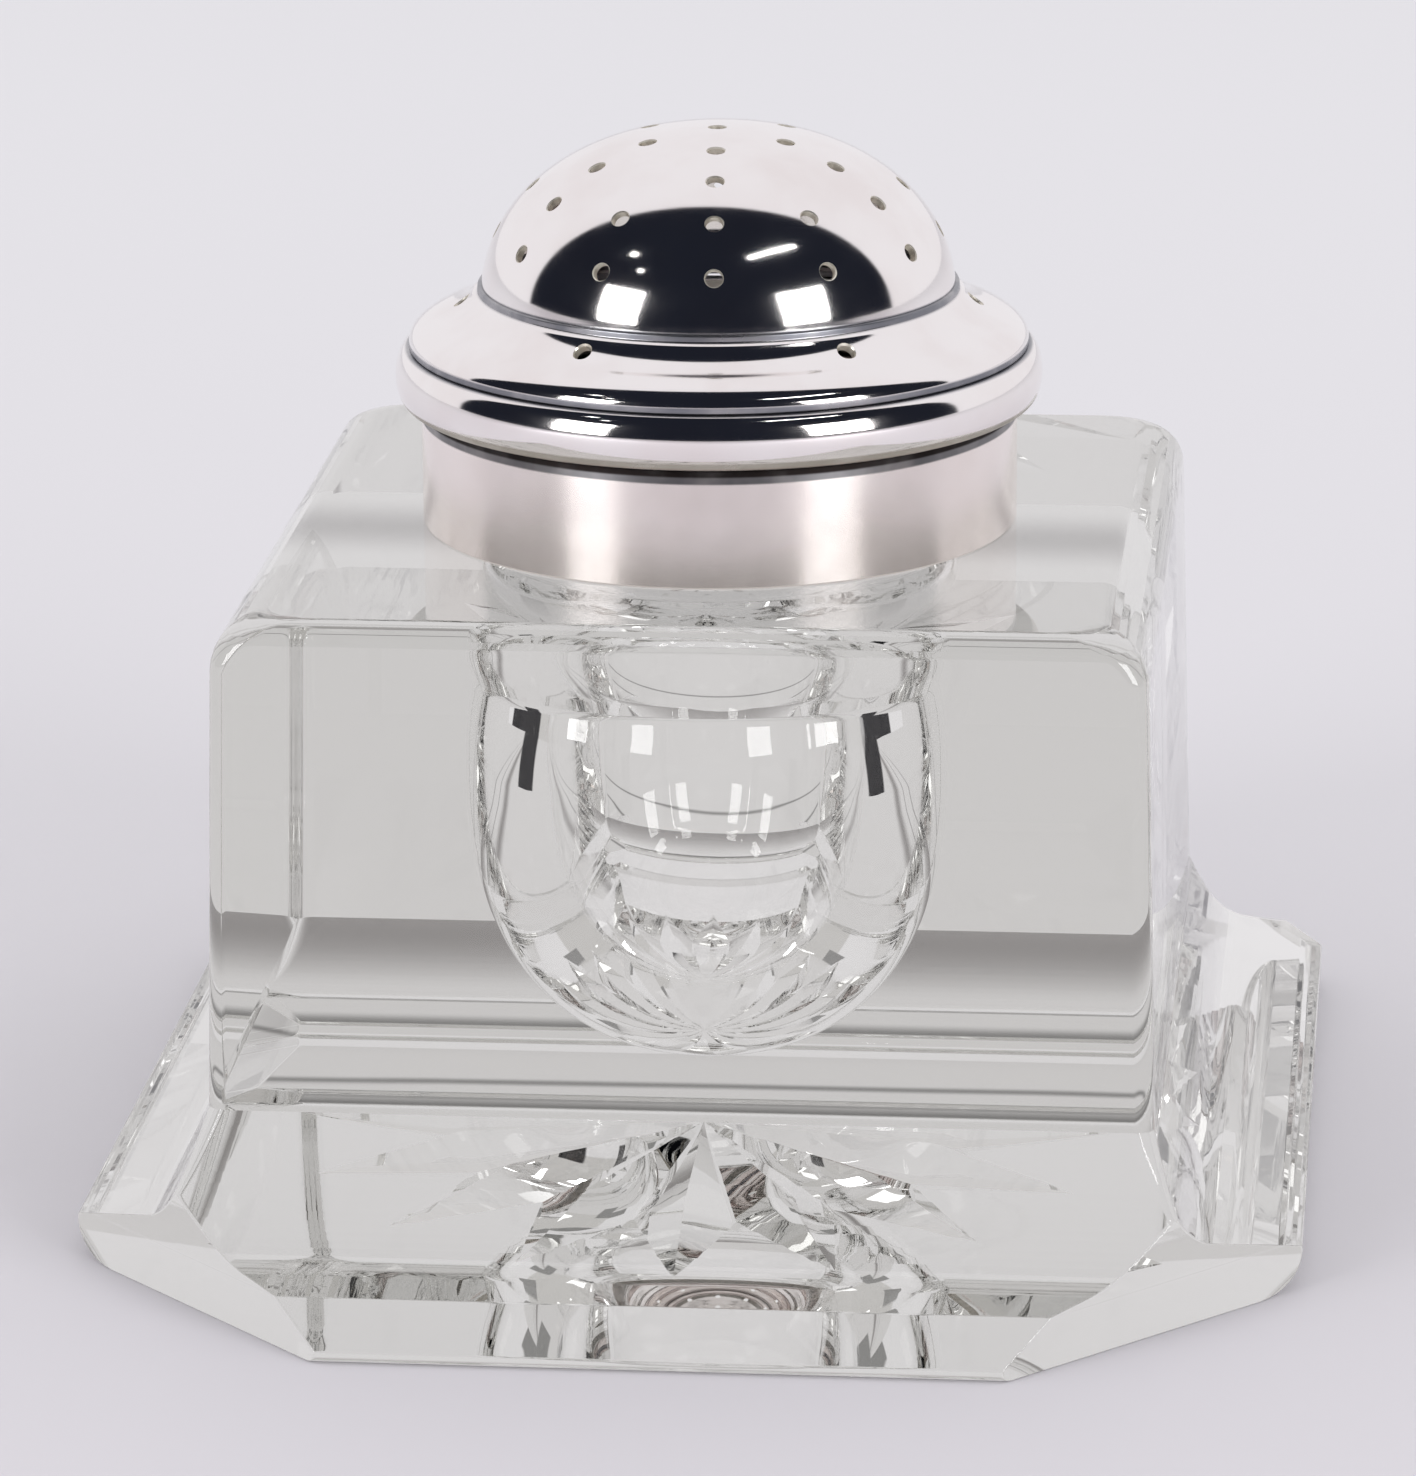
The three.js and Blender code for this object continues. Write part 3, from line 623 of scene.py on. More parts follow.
def rim_mesh():
    """The rim's bulge, with a notch at the back for the hinge."""
    widest = RIM_FOOT_Z + RIM_WIDEST_UP
    lower = arc_points((RIM_RADIUS - RIM_FOOT_INSET, widest), (RIM_FOOT_INSET, RIM_WIDEST_UP), -90, 0)
    upper = arc_points((RIDGE_RADIUS, widest), (RIDGE_INSET, RIM_TOP_Z - widest), 0, 90)
    profile = [(RIM_BORE, RIM_FOOT_Z)] + lower + upper[1:] + [(RIM_BORE, RIM_TOP_Z)]
    bm = bmesh.new()
    turn_profile(bm, rounded(profile, SHEET_EDGE_ROUNDING))
    rim = finished_mesh("rim", bm)
    low = (-NOTCH_HALF, NOTCH_FRONT, RIM_FOOT_Z - NOTCH_OVERRUN)
    high = (NOTCH_HALF, RIM_RADIUS + NOTCH_OVERRUN, RIM_TOP_Z + NOTCH_OVERRUN)
    rim = cut(rim, box_mesh(low, high))
    rim.materials.clear()
    for polygon in rim.polygons:
        polygon.material_index = 0
    return rim


def box_mesh(low, high):
    bm = bmesh.new()
    bmesh.ops.create_cube(bm, size=1)
    middle = (Vector(low) + Vector(high)) / 2
    for vertex in bm.verts:
        vertex.co = middle + Vector([vertex.co[k] * (high[k] - low[k]) for k in range(3)])
    return finished_mesh("cutter", bm)


def cut(mesh, cutter_mesh):
    """The mesh with the cutter's volume taken out of it."""
    piece = bpy.data.objects.new("being_cut", mesh)
    cutter = bpy.data.objects.new("cutter", cutter_mesh)
    for item in (piece, cutter):
        bpy.context.scene.collection.objects.link(item)
    modifier = piece.modifiers.new("cut", "BOOLEAN")
    modifier.operation = "DIFFERENCE"
    modifier.solver = "EXACT"
    modifier.object = cutter
    modifier.material_mode = "TRANSFER"
    bpy.context.view_layer.update()
    result = bpy.data.meshes.new_from_object(piece.evaluated_get(bpy.context.evaluated_depsgraph_get()))
    for item in (piece, cutter):
        bpy.data.objects.remove(item)
    result.shade_smooth()
    result.set_sharp_from_angle(angle=math.radians(SHARP_ANGLE))
    return result


def ogee_halves():
    """The two curves of the ogee, each as its start, bend and end."""
    end = (BAND_RADIUS + 2 * BAND_STEP, RIM_TOP_Z + RIDGE_BAND_HEIGHT + OGEE_HEIGHT)
    foot = (RIDGE_RADIUS, RIM_TOP_Z + RIDGE_BAND_HEIGHT)
    width = foot[0] - end[0]
    low, middle, high = [
        (foot[0] - width * across, foot[1] + OGEE_HEIGHT * up) for across, up in OGEE_BEND_SHARES
    ]
    return (foot, low, middle), (middle, high, end)


def moved_in(points, wall):
    """The points of a curve moved square to it, towards the axis and down."""
    result = []
    for i, point in enumerate(points):
        along = Vector(points[min(i + 1, len(points) - 1)]) - Vector(points[max(i - 1, 0)])
        along.normalize()
        result.append((point[0] - along.y * wall, point[1] + along.x * wall))
    return result


def shoulder_profile():
    lower, upper = ogee_halves()
    outside = bezier_points(*lower) + bezier_points(*upper)[1:]
    top = outside[-1][1]
    return (
        [(RIDGE_RADIUS, RIM_TOP_Z)] + outside
        + [(BAND_RADIUS, top + BAND_STEP), (BAND_RADIUS, DOME_FOOT_Z)]
        + [(BAND_BORE, DOME_FOOT_Z), (BAND_BORE, top)]
        + list(reversed(moved_in(outside, SHOULDER_WALL)))
        + [(RIDGE_RADIUS - SHOULDER_WALL, RIM_TOP_Z)]
    )


def shoulder_mesh(drill_material):
    bm = bmesh.new()
    turn_profile(bm, rounded(shoulder_profile(), SHEET_EDGE_ROUNDING))
    hollow = bezier_points(*ogee_halves()[1], steps=OGEE_STEPS)
    i = round(SHOULDER_HOLE_SHARE * OGEE_STEPS)
    middle = hollow[i]
    along = Vector(hollow[i + 1]) - Vector(hollow[i])
    tilt = math.atan2(along.y, -along.x)
    drills = bmesh.new()
    for k in range(SHOULDER_HOLES):
        turn = SHOULDER_HOLE_TURN + 360 * k / SHOULDER_HOLES
        add_drill(drills, middle[0], middle[1], tilt, math.radians(turn))
    return cut(finished_mesh("shoulder", bm), drill_mesh(drills, drill_material))


def add_drill(bm, radius, z, tilt, turn):
    """One drill: a rod with a flare at the outer surface, square to it."""
    profile = [
        (HOLE_RADIUS, -DRILL_REACH), (HOLE_RADIUS, -HOLE_FLARE),
        (HOLE_RADIUS + HOLE_FLARE, HOLE_FLARE / HOLE_LIP_PARTS), (HOLE_RADIUS + HOLE_FLARE, DRILL_REACH),
    ]
    place = Matrix.Rotation(turn, 3, "Z") @ Matrix.Rotation(tilt, 3, "X")
    centre = Matrix.Rotation(turn, 3, "Z") @ Vector((0, -radius, z))
    rings = []
    for r, height in profile:
        rings.append([
            bm.verts.new(centre + place @ Vector(
                (r * math.cos(math.tau * i / HOLE_STEPS), r * math.sin(math.tau * i / HOLE_STEPS), height)))
            for i in range(HOLE_STEPS)
        ])
    for lower, upper in zip(rings[:-1], rings[1:]):
        join_rings(bm, lower, upper)
    bm.faces.new(list(reversed(rings[0])))
    bm.faces.new(rings[-1])


def drill_mesh(bm, material):
    mesh = finished_mesh("drills", bm)
    mesh.materials.append(material)
    return mesh


def dome_height(radius):
    share = (radius / DOME_RADIUS) ** DOME_FULLNESS
    return DOME_CENTRE_Z + DOME_RISE * math.sqrt(1 - share)


def dome_tilt(radius):
    """How far the dome's surface leans from level at a radius."""
    if radius < SLOPE_STEP:
        return 0
    fall = dome_height(radius - SLOPE_STEP) - dome_height(radius + SLOPE_STEP)
    return math.atan2(fall, 2 * SLOPE_STEP)


def dome_meridian(wall, steps):
    """The dome's outline from its foot to just short of its top, drawn in by a wall."""
    start = math.asin(DOME_SPRING_DROP / DOME_RISE)
    points = []
    for i in range(steps):
        angle = start + (math.pi / 2 - start) * i / steps
        rise = math.sin(angle)
        radius = DOME_RADIUS * (1 - rise * rise) ** (1 / DOME_FULLNESS)
        inner = (DOME_RADIUS - wall) / DOME_RADIUS
        z = DOME_FOOT_Z if i == 0 else DOME_CENTRE_Z + DOME_RISE * rise - wall * rise
        points.append((radius * inner, z))
    return points


def dome_mesh(drill_material):
    bm = bmesh.new()
    outside = [circle(bm, r, z) for r, z in dome_meridian(0, 3 * CURVE_STEPS)]
    inside = [circle(bm, r, z) for r, z in dome_meridian(DOME_WALL, 2 * CURVE_STEPS)]
    for rings in (outside, inside):
        for lower, upper in zip(rings[:-1], rings[1:]):
            join_rings(bm, lower, upper)
    top = DOME_CENTRE_Z + DOME_RISE
    fan(bm, outside[-1], bm.verts.new((0, 0, top)))
    fan(bm, inside[-1], bm.verts.new((0, 0, top - DOME_WALL)))
    join_rings(bm, outside[0], inside[0])
    drills = bmesh.new()
    for share, count in zip(HOLE_RING_SHARES, HOLE_RING_COUNTS):
        radius = DOME_RADIUS * share
        for k in range(count):
            turn = math.radians(HOLE_TURN + 360 * k / count)
            add_drill(drills, radius, dome_height(radius), dome_tilt(radius), turn)
    mesh = cut(finished_mesh("dome", bm), drill_mesh(drills, drill_material))
    keep_true_normals(mesh)
    return mesh


def keep_true_normals(mesh):
    """Gives the dome's outside the normals of its formula, so that the drilled holes leave no dents."""
    normals = [Vector(normal.vector) for normal in mesh.corner_normals]
    for polygon in mesh.polygons:
        if not on_dome(polygon.center):
            continue
        for loop in polygon.loop_indices:
            point = mesh.vertices[mesh.loops[loop].vertex_index].co / MM
            radius = math.hypot(point.x, point.y)
            tilt = dome_tilt(min(radius, DOME_RADIUS - DOME_EDGE_MARGIN))
            out = Vector((point.x, point.y, 0)).normalized()
            normals[loop] = (out * math.sin(tilt) + Vector((0, 0, math.cos(tilt)))).normalized()
    mesh.normals_split_custom_set(normals)


def on_dome(point):
    """Whether a point lies on the dome's outer surface."""
    point = Vector(point) / MM
    radius = min(math.hypot(point.x, point.y), DOME_RADIUS)
    rise = (point.z - DOME_CENTRE_Z) / DOME_RISE
    share = (radius / DOME_RADIUS) ** DOME_FULLNESS + rise * rise
    return abs(share - 1) < ON_DOME_SHARE


# Hinge

def along_hinge(mesh):
    """Lays a body turned about Z along the hinge's axis."""
    mesh.transform(Matrix.Translation((0, HINGE_Y * MM, HINGE_Z * MM)) @ Matrix.Rotation(math.pi / 2, 4, "Y"))
    return mesh


def knuckle_mesh(node):
    low, high = (corner / MM for corner in map(Vector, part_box(node)))
    profile = [
        (KNUCKLE_BORE, low.x), (KNUCKLE_RADIUS, low.x), (KNUCKLE_RADIUS, high.x), (KNUCKLE_BORE, high.x),
    ]
    return along_hinge(ring_mesh(node, profile, SHEET_EDGE_ROUNDING, steps=KNUCKLE_STEPS))


def pin_mesh():
    """A rod whose ends are peened into low domes."""
    end = PIN_HIGH.x
    neck = end - PIN_HEAD_LENGTH
    head = PIN_HIGH.z - HINGE_Z
    peened = arc_points((0, neck), (head, PIN_HEAD_LENGTH), 0, PIN_HEAD_ARC)
    half = [(PIN_RADIUS, 0), (PIN_RADIUS, neck)] + peened
    profile = [(r, -x) for r, x in reversed(half)] + half[1:]
    bm = bmesh.new()
    rings = [circle(bm, r, x, PIN_STEPS) for r, x in profile]
    for lower, upper in zip(rings[:-1], rings[1:]):
        join_rings(bm, lower, upper)
    bm.faces.new(rings[0])
    bm.faces.new(rings[-1])
    return along_hinge(finished_mesh("pin", bm))


# Materials

class Nodes:
    """A short way to build a node tree."""

    def __init__(self, tree):
        self.tree = tree

    def add(self, kind, inputs=None, **settings):
        node = self.tree.nodes.new(kind)
        for name, value in settings.items():
            setattr(node, name, value)
        for name, value in (inputs or {}).items():
            if isinstance(value, bpy.types.NodeSocket):
                self.tree.links.new(value, node.inputs[name])
            else:
                node.inputs[name].default_value = value
        return node

    def math(self, operation, *values):
        return self.add("ShaderNodeMath", dict(enumerate(values)), operation=operation).outputs[0]

    def range(self, value, low, high, to_low=0.0, to_high=1.0):
        node = self.add("ShaderNodeMapRange", {"Value": value, "From Min": low, "From Max": high,
                                               "To Min": to_low, "To Max": to_high},
                        interpolation_type="SMOOTHSTEP")
        return node.outputs[0]

    def mix(self, factor, a, b):
        node = self.add("ShaderNodeMix", {"Factor": factor}, data_type="RGBA")
        for name, value in ((6, a), (7, b)):
            if isinstance(value, bpy.types.NodeSocket):
                self.tree.links.new(value, node.inputs[name])
            else:
                node.inputs[name].default_value = value
        return node.outputs[2]

    def noise(self, vector, scale, detail=4.0, roughness=0.5):
        node = self.add("ShaderNodeTexNoise", {"Vector": vector, "Scale": scale, "Detail": detail,
                                               "Roughness": roughness})
        return node.outputs[0]

    def bump(self, strength, distance, height, normal=None):
        inputs = {"Strength": strength, "Distance": distance, "Height": height}
        if normal is not None:
            inputs["Normal"] = normal
        return self.add("ShaderNodeBump", inputs).outputs[0]

    def stretched(self, vector, scale):
        return self.add("ShaderNodeVectorMath", {0: vector, 1: scale}, operation="MULTIPLY").outputs[0]


def new_material(name):
    material = bpy.data.materials.new(name)
    material.use_nodes = True
    nodes = Nodes(material.node_tree)
    shader = material.node_tree.nodes["Principled BSDF"]
    place = nodes.add("ShaderNodeTexCoord").outputs["Object"]
    return material, nodes, shader, place


def set_inputs(nodes, shader, **values):
    for name, value in values.items():
        socket = shader.inputs[name.replace("_", " ")]
        if isinstance(value, bpy.types.NodeSocket):
            nodes.tree.links.new(value, socket)
        else:
            socket.default_value = value


def crystal_material():
    """Clear old glass: faintly grey in depth, with fine rub marks on its faces."""
    material, nodes, shader, place = new_material("crystal")
    set_inputs(
        nodes, shader,
        Base_Color=GLASS_CLEAR, Roughness=0.0, IOR=GLASS_INDEX, Transmission_Weight=1.0,
    )
    waves = nodes.noise(place, WAVE_SCALE, 1.0)
    rubs = nodes.noise(nodes.stretched(place, RUB_STRETCH), 1.0, 2.0)
    wavy = nodes.bump(WAVE_STRENGTH, WAVE_HEIGHT, waves)
    set_inputs(nodes, shader, Normal=nodes.bump(RUB_STRENGTH, RUB_HEIGHT, rubs, wavy))
    depth = nodes.add("ShaderNodeVolumeAbsorption", {"Color": GLASS_TINT, "Density": GLASS_TINT_DENSITY})
    output = material.node_tree.nodes["Material Output"]
    material.node_tree.links.new(depth.outputs[0], output.inputs["Volume"])
    return material


def lathe_place(nodes, parts):
    """A place as its turn about the axis, its radius and its height."""
    squares = [nodes.math("POWER", parts.outputs[k], 2.0) for k in range(2)]
    radius = nodes.math("SQRT", nodes.math("ADD", *squares))
    turn = nodes.math("ARCTAN2", parts.outputs[1], parts.outputs[0])
    across = nodes.math("MULTIPLY", turn, STREAK_TURN_SHARE)
    return nodes.add("ShaderNodeCombineXYZ", {0: across, 1: radius, 2: parts.outputs[2]}).outputs[0]


def band_mask(nodes, height, low, high):
    """One between two heights in millimetres, with soft edges."""
    blur = BAND_BLUR * MM
    return nodes.math(
        "MULTIPLY",
        nodes.range(height, low * MM - blur, low * MM + blur),
        nodes.range(height, high * MM + blur, high * MM - blur),
    )


def silver_material(name, tints=BRIGHT_SILVER, roughness=POLISHED_ROUGHNESS, brushed=False, bands=()):
    """Old polished silver: a faint warm bloom, rub marks along the turning and dull dark bands, of oxide in
    grooves and of painted shade.
    """
    material, nodes, shader, place = new_material(name)
    cloud = nodes.range(nodes.noise(place, BLOOM_SCALE, 3.0), *BLOOM_RANGE)
    tint = nodes.mix(cloud, *tints)
    smear = nodes.noise(place, SMEAR_SCALE, 5.0)
    rough = nodes.range(smear, *SMEAR_RANGE, roughness, roughness + SMEAR_ROUGHNESS)
    parts = nodes.add("ShaderNodeSeparateXYZ", {0: place})
    streaks = nodes.noise(nodes.stretched(lathe_place(nodes, parts), STREAK_STRETCH), 1.0, 3.0)
    # Patchy strength for the bands: wear of the oxide, and breakup of the painted shade.
    wear_and_shade_breakup = nodes.range(nodes.noise(place, WEAR_AND_SHADE_SCALE, 3.0), *WEAR_AND_SHADE_RANGE, WEAR_AND_SHADE_LEAST, 1.0)
    for low, high, shade in bands:
        mask = nodes.math("MULTIPLY", band_mask(nodes, parts.outputs[2], low, high), wear_and_shade_breakup)
        tint = nodes.mix(mask, tint, shade)
        rough = nodes.math("ADD", rough, nodes.math("MULTIPLY", mask, BAND_ROUGHNESS))
    if brushed:
        tangent = nodes.add("ShaderNodeTangent", direction_type="RADIAL", axis="Z")
        set_inputs(
            nodes, shader, Anisotropic=BRUSHED_ANISOTROPY, Anisotropic_Rotation=BRUSHED_ROTATION,
            Tangent=tangent.outputs[0],
        )
    bump = nodes.bump(STREAK_STRENGTH, STREAK_HEIGHT, streaks)
    set_inputs(nodes, shader, Base_Color=tint, Metallic=1.0, Roughness=rough, Normal=bump)
    return material


def dull_silver_material():
    """Unpolished silver of the drilled holes and of the pin."""
    material, nodes, shader, place = new_material("dull_silver")
    cloud = nodes.range(nodes.noise(place, DULL_SCALE, 4.0), *DULL_NOISE_RANGE)
    tint = nodes.mix(cloud, *DULL_SILVER)
    rough = nodes.range(nodes.noise(place, DULL_ROUGHNESS_SCALE, 3.0), *DULL_NOISE_RANGE, *DULL_ROUGHNESS)
    set_inputs(nodes, shader, Base_Color=tint, Metallic=DULL_METALLIC, Roughness=rough)
    return material


def plaster_material():
    material, nodes, shader, place = new_material("plaster")
    grain = nodes.noise(place, GRAIN_SCALE, 6.0, 0.7)
    tint = nodes.mix(nodes.range(grain, *GRAIN_RANGE), *PLASTER_TINTS)
    bump = nodes.bump(GRAIN_STRENGTH, GRAIN_HEIGHT, grain)
    set_inputs(nodes, shader, Base_Color=tint, Roughness=PLASTER_ROUGHNESS, Normal=bump)
    return material


# Object

def build():
    crystal = crystal_material()
    polished = silver_material("silver")
    lid = silver_material("lid_silver", bands=[
        (RIM_TOP_Z - BAND_OVERRUN, RIM_TOP_Z + RIDGE_BAND_HEIGHT, GROOVE_GREY),
        (DOME_FOOT_Z - RIDGE_BAND_HEIGHT, DOME_FOOT_Z + BAND_OVERRUN, GROOVE_GREY),
        # Painted shade: on the rim's underside, and black at its foot by the gap.
        (RIM_FOOT_Z - BAND_OVERRUN, RIM_FOOT_Z + RIM_SHADE_HEIGHT, SHADE_KHAKI),
        (RIM_FOOT_Z - BAND_OVERRUN, RIM_FOOT_Z + RIM_GAP_SHADE_HEIGHT, GAP_SHADE_BLACK),
    ])
    collar = silver_material(
        "collar_silver", tints=WARM_SILVER, roughness=BRUSHED_ROUGHNESS, brushed=True,
        bands=[
            # Painted shade: the rim's shadow on the collar's top, and black by the gap under the rim.
            (COLLAR_TOP_Z - COLLAR_SHADE_DEPTH, COLLAR_TOP_Z + BAND_OVERRUN, SHADE_GREY),
            (COLLAR_TOP_Z - COLLAR_GAP_SHADE_DEPTH, COLLAR_TOP_Z + BAND_OVERRUN, GAP_SHADE_BLACK),
        ],
    )
    dull = dull_silver_material()
    add_piece("crystal_body", crystal_mesh(), [crystal], "stand", ["glass_block"])
    add_piece("collar", collar_mesh(), [collar], "stand", ["collar_sleeve"])
    add_piece("flat_mouth_ring", mouth_ring_mesh(), [polished], "stand", ["mouth_ring"])
    add_piece("rim", rim_mesh(), [lid], "lid", ["lid_rim"])
    add_piece("bezel", bezel_mesh(), [polished], "lid", ["lid_bezel"])
    shoulder = shoulder_mesh(dull)
    add_piece("shoulder", shoulder, [], "lid", ["lid_shoulder"])
    set_materials(shoulder, lid, dull)
    dome = dome_mesh(dull)
    add_piece("dome", dome, [], "lid", ["lid_dome"]).modifiers.clear()
    set_materials(dome, lid, dull)
    for node, body in (("hinge_knuckle_left", "stand"), ("hinge_knuckle_right", "stand"),
                       ("hinge_knuckle_lid", "lid")):
        add_piece(node.replace("hinge_", "smooth_"), knuckle_mesh(node), [polished], body, [node])
    add_piece("peened_pin", pin_mesh(), [dull], "stand", ["hinge_pin"])
    for node in ("collar_hinge_bearer", "lid_hinge_bearer"):
        dress(node, polished)
        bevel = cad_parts[node].modifiers.new("soft_edges", "BEVEL")
        bevel.width = SHEET_EDGE_ROUNDING * MM
        bevel.segments = BEVEL_STEPS
    dress("neck_plaster", plaster_material())


def set_materials(mesh, outer, drilled):
    """The drilled walls are dull and the rest is polished, whatever order the cut left."""
    wall = [i for i, material in enumerate(mesh.materials) if material is drilled]
    flags = [polygon.material_index in wall for polygon in mesh.polygons]
    mesh.materials.clear()
    mesh.materials.append(outer)
    mesh.materials.append(drilled)
    for polygon, drilled_face in zip(mesh.polygons, flags):
        polygon.material_index = 1 if drilled_face else 0


def dress(node, material):
    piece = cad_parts[node]
    piece.data.materials.clear()
    piece.data.materials.append(material)


# Surroundings, in metres

FLOOR_HALF = 4
FLOOR_DROP = 0.0001
FLOOR_ROUGHNESS = 0.85
# Painted light and shade: the table darkens towards the front and lightens towards the back.
FLOOR_FRONT_COLOUR = colour(0.565, 0.542, 0.582)
FLOOR_BACK_COLOUR = colour(0.70, 0.688, 0.722)
FLOOR_FRONT_Y = -0.2
FLOOR_BACK_Y = 0.5
BACKDROP_COLOUR = colour(0.765, 0.75, 0.79)
TENT_COLOUR = colour(0.86, 0.845, 0.87)
ROOM_COLOUR = colour(0.012, 0.014, 0.022)
EVEN_LIGHT = colour(1.0, 1.0, 1.0)
TENT_EDGE = 0.13
EDGE_BLUR = 0.015
HORIZON_BLUR = 0.02

# What only lines of sight through the glass see: a plain table and tent, a lighter room and, once they are
# mirrored, dark gaps at the sides. The gaps are placed for the front and also show as dark shapes elsewhere.
# Painted light: the table glows in this colour for lines through the glass, in place of the shade under the
# glass.
GLASS_FLOOR_COLOUR = colour(0.68, 0.665, 0.66)
GLASS_TENT_COLOUR = colour(0.8, 0.785, 0.79)
GLASS_ROOM_COLOUR = colour(0.6, 0.585, 0.57)
GAP_COLOUR = colour(0.004, 0.004, 0.005)
GAP_FLOOR_START = 0.13
FLOOR_GAP_SLANTS = (-0.15, 0.095)
SKY_GAPS = [((-0.15, 0.4), (-0.1, 0.14)), ((-0.04, 0.4), (0.6, 0.88))]
MIRRORED_GAP_COLOUR = colour(0.28, 0.275, 0.27)
MIRRORED_LAMP_SHARE = 0.12
# Painted stripes for the shadows of the block, of the plate's back edge and of its rim: centre and reach
# along the table, and colour. Only the glass shows them.
TABLE_SHADOWS = [
    (0.0375, 0.0095, colour(0.30, 0.285, 0.28)),
    (0.0530, 0.0010, colour(0.20, 0.195, 0.19)),
    (0.0665, 0.0013, colour(0.24, 0.235, 0.23)),
]

# Lamps: name, degrees from the front, degrees above the table, width, height and radiance.
LAMP_DISTANCE = 1.2
LAMPS = [
    ("softbox_left", -44, 15, 0.42, 0.54, 8.0),
    ("softbox_right", 48.5, 15, 0.48, 0.54, 8.0),
    ("strip_lamp", 48, 58, 0.45, 0.04, 9.0),
    ("small_lamp_high", -55, 51, 0.05, 0.05, 9.0),
    ("small_lamp_low", -42, 42, 0.035, 0.035, 9.0),
]

TRANSMISSION_BOUNCES = 32
GLOSSY_BOUNCES = 12
DIFFUSE_BOUNCES = 4


def through_glass(nodes):
    """The light path, and one for a line of sight that has passed through the glass."""
    path = nodes.add("ShaderNodeLightPath")
    return path, nodes.math("GREATER_THAN", path.outputs["Transmission Depth"], 0.5)


def mirrored(nodes, path, times):
    """One for a line of sight that has been mirrored at least so many times."""
    return nodes.math("GREATER_THAN", path.outputs["Glossy Depth"], times - 0.5)


def between(nodes, value, low, high):
    """One between two values, with soft edges."""
    return nodes.math(
        "MULTIPLY",
        nodes.range(value, low - EDGE_BLUR, low + EDGE_BLUR),
        nodes.range(value, high + EDGE_BLUR, high - EDGE_BLUR),
    )


def slant(nodes, across, along):
    """How far a direction leans back for each step out to either side."""
    return nodes.math("DIVIDE", along, nodes.math("ABSOLUTE", across))


def with_gap(nodes, path, gap, beside):
    """A dark gap in a colour for lines mirrored at least once, and a paler one from the second time."""
    dark = nodes.mix(mirrored(nodes, path, 2), GAP_COLOUR, MIRRORED_GAP_COLOUR)
    return nodes.mix(nodes.math("MULTIPLY", gap, mirrored(nodes, path, 1)), beside, dark)


def table_material():
    """A pale table painted lighter at the back; for the glass it glows a plain colour, as painted light, with
    painted shadow stripes and gaps.
    """
    material, nodes, shader, place = new_material("pale_table")
    parts = nodes.add("ShaderNodeSeparateXYZ", {0: place})
    across, along = parts.outputs[:2]
    # Painted light: lighter towards the back.
    tint = nodes.mix(
        nodes.range(along, FLOOR_FRONT_Y, FLOOR_BACK_Y), FLOOR_FRONT_COLOUR, FLOOR_BACK_COLOUR)
    set_inputs(nodes, shader, Base_Color=tint, Roughness=FLOOR_ROUGHNESS)
    far = nodes.math("GREATER_THAN", nodes.math("ABSOLUTE", across), GAP_FLOOR_START)
    gap = nodes.math("MULTIPLY", far, between(nodes, slant(nodes, across, along), *FLOOR_GAP_SLANTS))
    table = GLASS_FLOOR_COLOUR
    for centre, reach, shade in TABLE_SHADOWS:
        off = nodes.math("ABSOLUTE", nodes.math("SUBTRACT", along, centre))
        table = nodes.mix(nodes.range(off, reach, 0.0), table, shade)
    path, deep = through_glass(nodes)
    # Painted light: for lines through the glass the table glows, with its painted shadows and gaps.
    plain = nodes.add("ShaderNodeEmission", {"Color": with_gap(nodes, path, gap, table)})
    seen = nodes.add("ShaderNodeMixShader", {0: deep, 1: shader.outputs[0], 2: plain.outputs[0]})
    nodes.tree.links.new(seen.outputs[0], nodes.tree.nodes["Material Output"].inputs["Surface"])
    return material


def add_floor():
    bm = bmesh.new()
    bmesh.ops.create_grid(bm, x_segments=1, y_segments=1, size=FLOOR_HALF)
    mesh = bpy.data.meshes.new("floor")
    bm.to_mesh(mesh)
    bm.free()
    mesh.materials.append(table_material())
    floor = bpy.data.objects.new("floor", mesh)
    floor.location.z = -FLOOR_DROP
    bpy.context.scene.collection.objects.link(floor)


def sky_gap(nodes, parts):
    """One where the sky has a dark opening."""
    lean = slant(nodes, *parts.outputs[:2])
    gap = 0.0
    for slants, heights in SKY_GAPS:
        opening = nodes.math(
            "MULTIPLY", between(nodes, lean, *slants), between(nodes, parts.outputs[2], *heights))
        gap = nodes.math("MAXIMUM", gap, opening)
    return gap


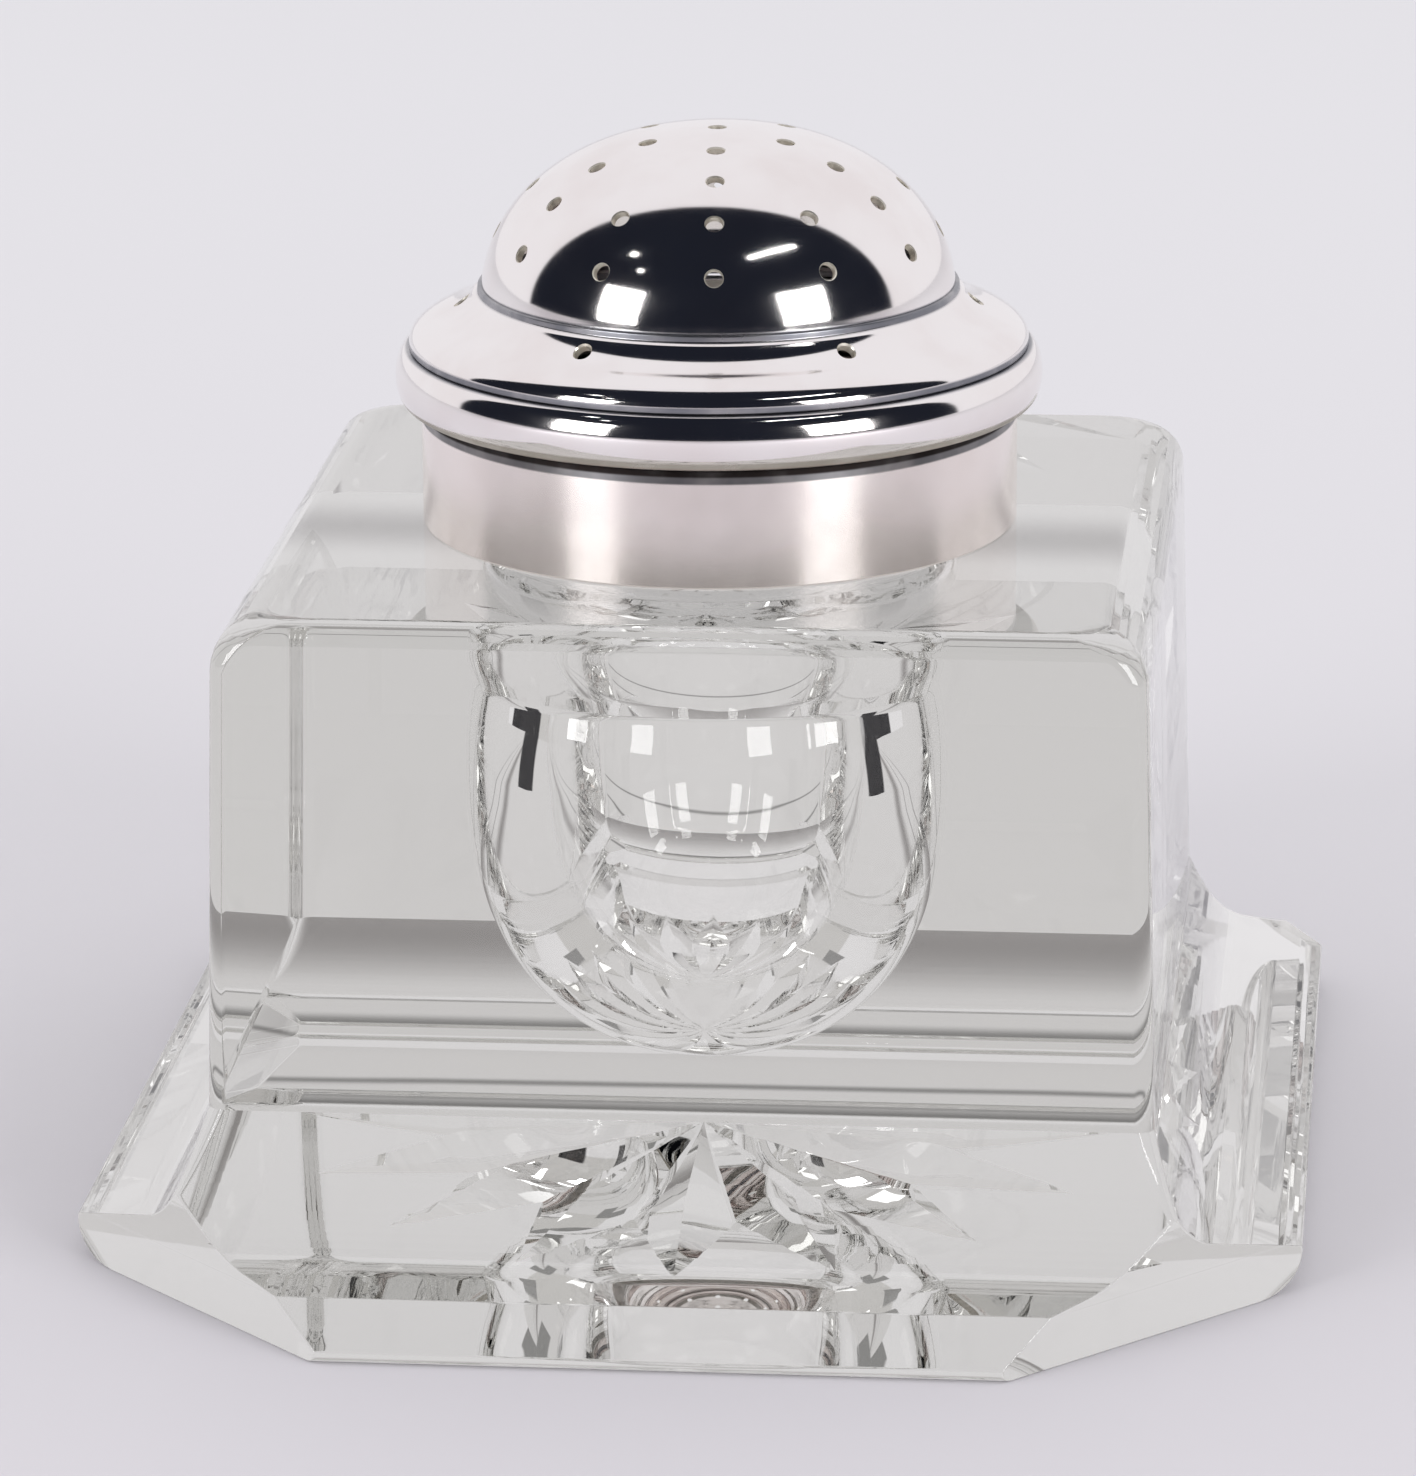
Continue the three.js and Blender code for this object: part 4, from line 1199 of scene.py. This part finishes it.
def add_world():
    """A white tent behind, open to a dark room in front; the camera, the glass and matt surfaces each see
    their own plainer version of it."""
    world = bpy.data.worlds.new("studio")
    bpy.context.scene.world = world
    world.use_nodes = True
    nodes = Nodes(world.node_tree)
    background = world.node_tree.nodes["Background"]
    direction = nodes.add("ShaderNodeTexCoord").outputs["Generated"]
    parts = nodes.add("ShaderNodeSeparateXYZ", {0: direction})
    behind = nodes.range(parts.outputs[1], TENT_EDGE - EDGE_BLUR, TENT_EDGE + EDGE_BLUR)
    below = nodes.range(parts.outputs[2], 0.0, -HORIZON_BLUR)
    tent = nodes.mix(nodes.math("MAXIMUM", behind, below), ROOM_COLOUR, TENT_COLOUR)
    path, deep = through_glass(nodes)
    glass_sky = nodes.mix(behind, GLASS_ROOM_COLOUR, GLASS_TENT_COLOUR)
    glass_view = with_gap(nodes, path, sky_gap(nodes, parts), glass_sky)
    bright = nodes.mix(deep, tent, glass_view)
    plain = nodes.mix(path.outputs["Is Diffuse Ray"], bright, EVEN_LIGHT)
    seen = nodes.mix(path.outputs["Is Camera Ray"], plain, BACKDROP_COLOUR)
    nodes.tree.links.new(seen, background.inputs["Color"])


def add_lamp(name, azimuth, elevation, width, height, radiance):
    """A rectangular lamp that faces the lid, dimmer for lines of sight mirrored at least twice."""
    data = bpy.data.lights.new(name, "AREA")
    data.shape = "RECTANGLE"
    data.size = width
    data.size_y = height
    data.energy = radiance * math.pi * width * height
    data.use_nodes = True
    nodes = Nodes(data.node_tree)
    path = nodes.add("ShaderNodeLightPath")
    strength = nodes.range(mirrored(nodes, path, 2), 0.0, 1.0, 1.0, MIRRORED_LAMP_SHARE)
    nodes.tree.links.new(strength, nodes.tree.nodes["Emission"].inputs["Strength"])
    lamp = bpy.data.objects.new(name, data)
    azimuth, elevation = math.radians(azimuth), math.radians(elevation)
    level = math.cos(elevation)
    away = Vector((math.sin(azimuth) * level, -math.cos(azimuth) * level, math.sin(elevation)))
    lamp.location = Vector((0, 0, DOME_FOOT_Z * MM)) + away * LAMP_DISTANCE
    lamp.rotation_euler = away.to_track_quat("Z", "Y").to_euler()
    lamp.visible_camera = False
    bpy.context.scene.collection.objects.link(lamp)


def set_render():
    scene = bpy.context.scene
    scene.view_settings.view_transform = "Standard"
    scene.cycles.max_bounces = TRANSMISSION_BOUNCES
    scene.cycles.transmission_bounces = TRANSMISSION_BOUNCES
    scene.cycles.glossy_bounces = GLOSSY_BOUNCES
    scene.cycles.diffuse_bounces = DIFFUSE_BOUNCES


build()
add_floor()
add_world()
for lamp_values in LAMPS:
    add_lamp(*lamp_values)
set_render()
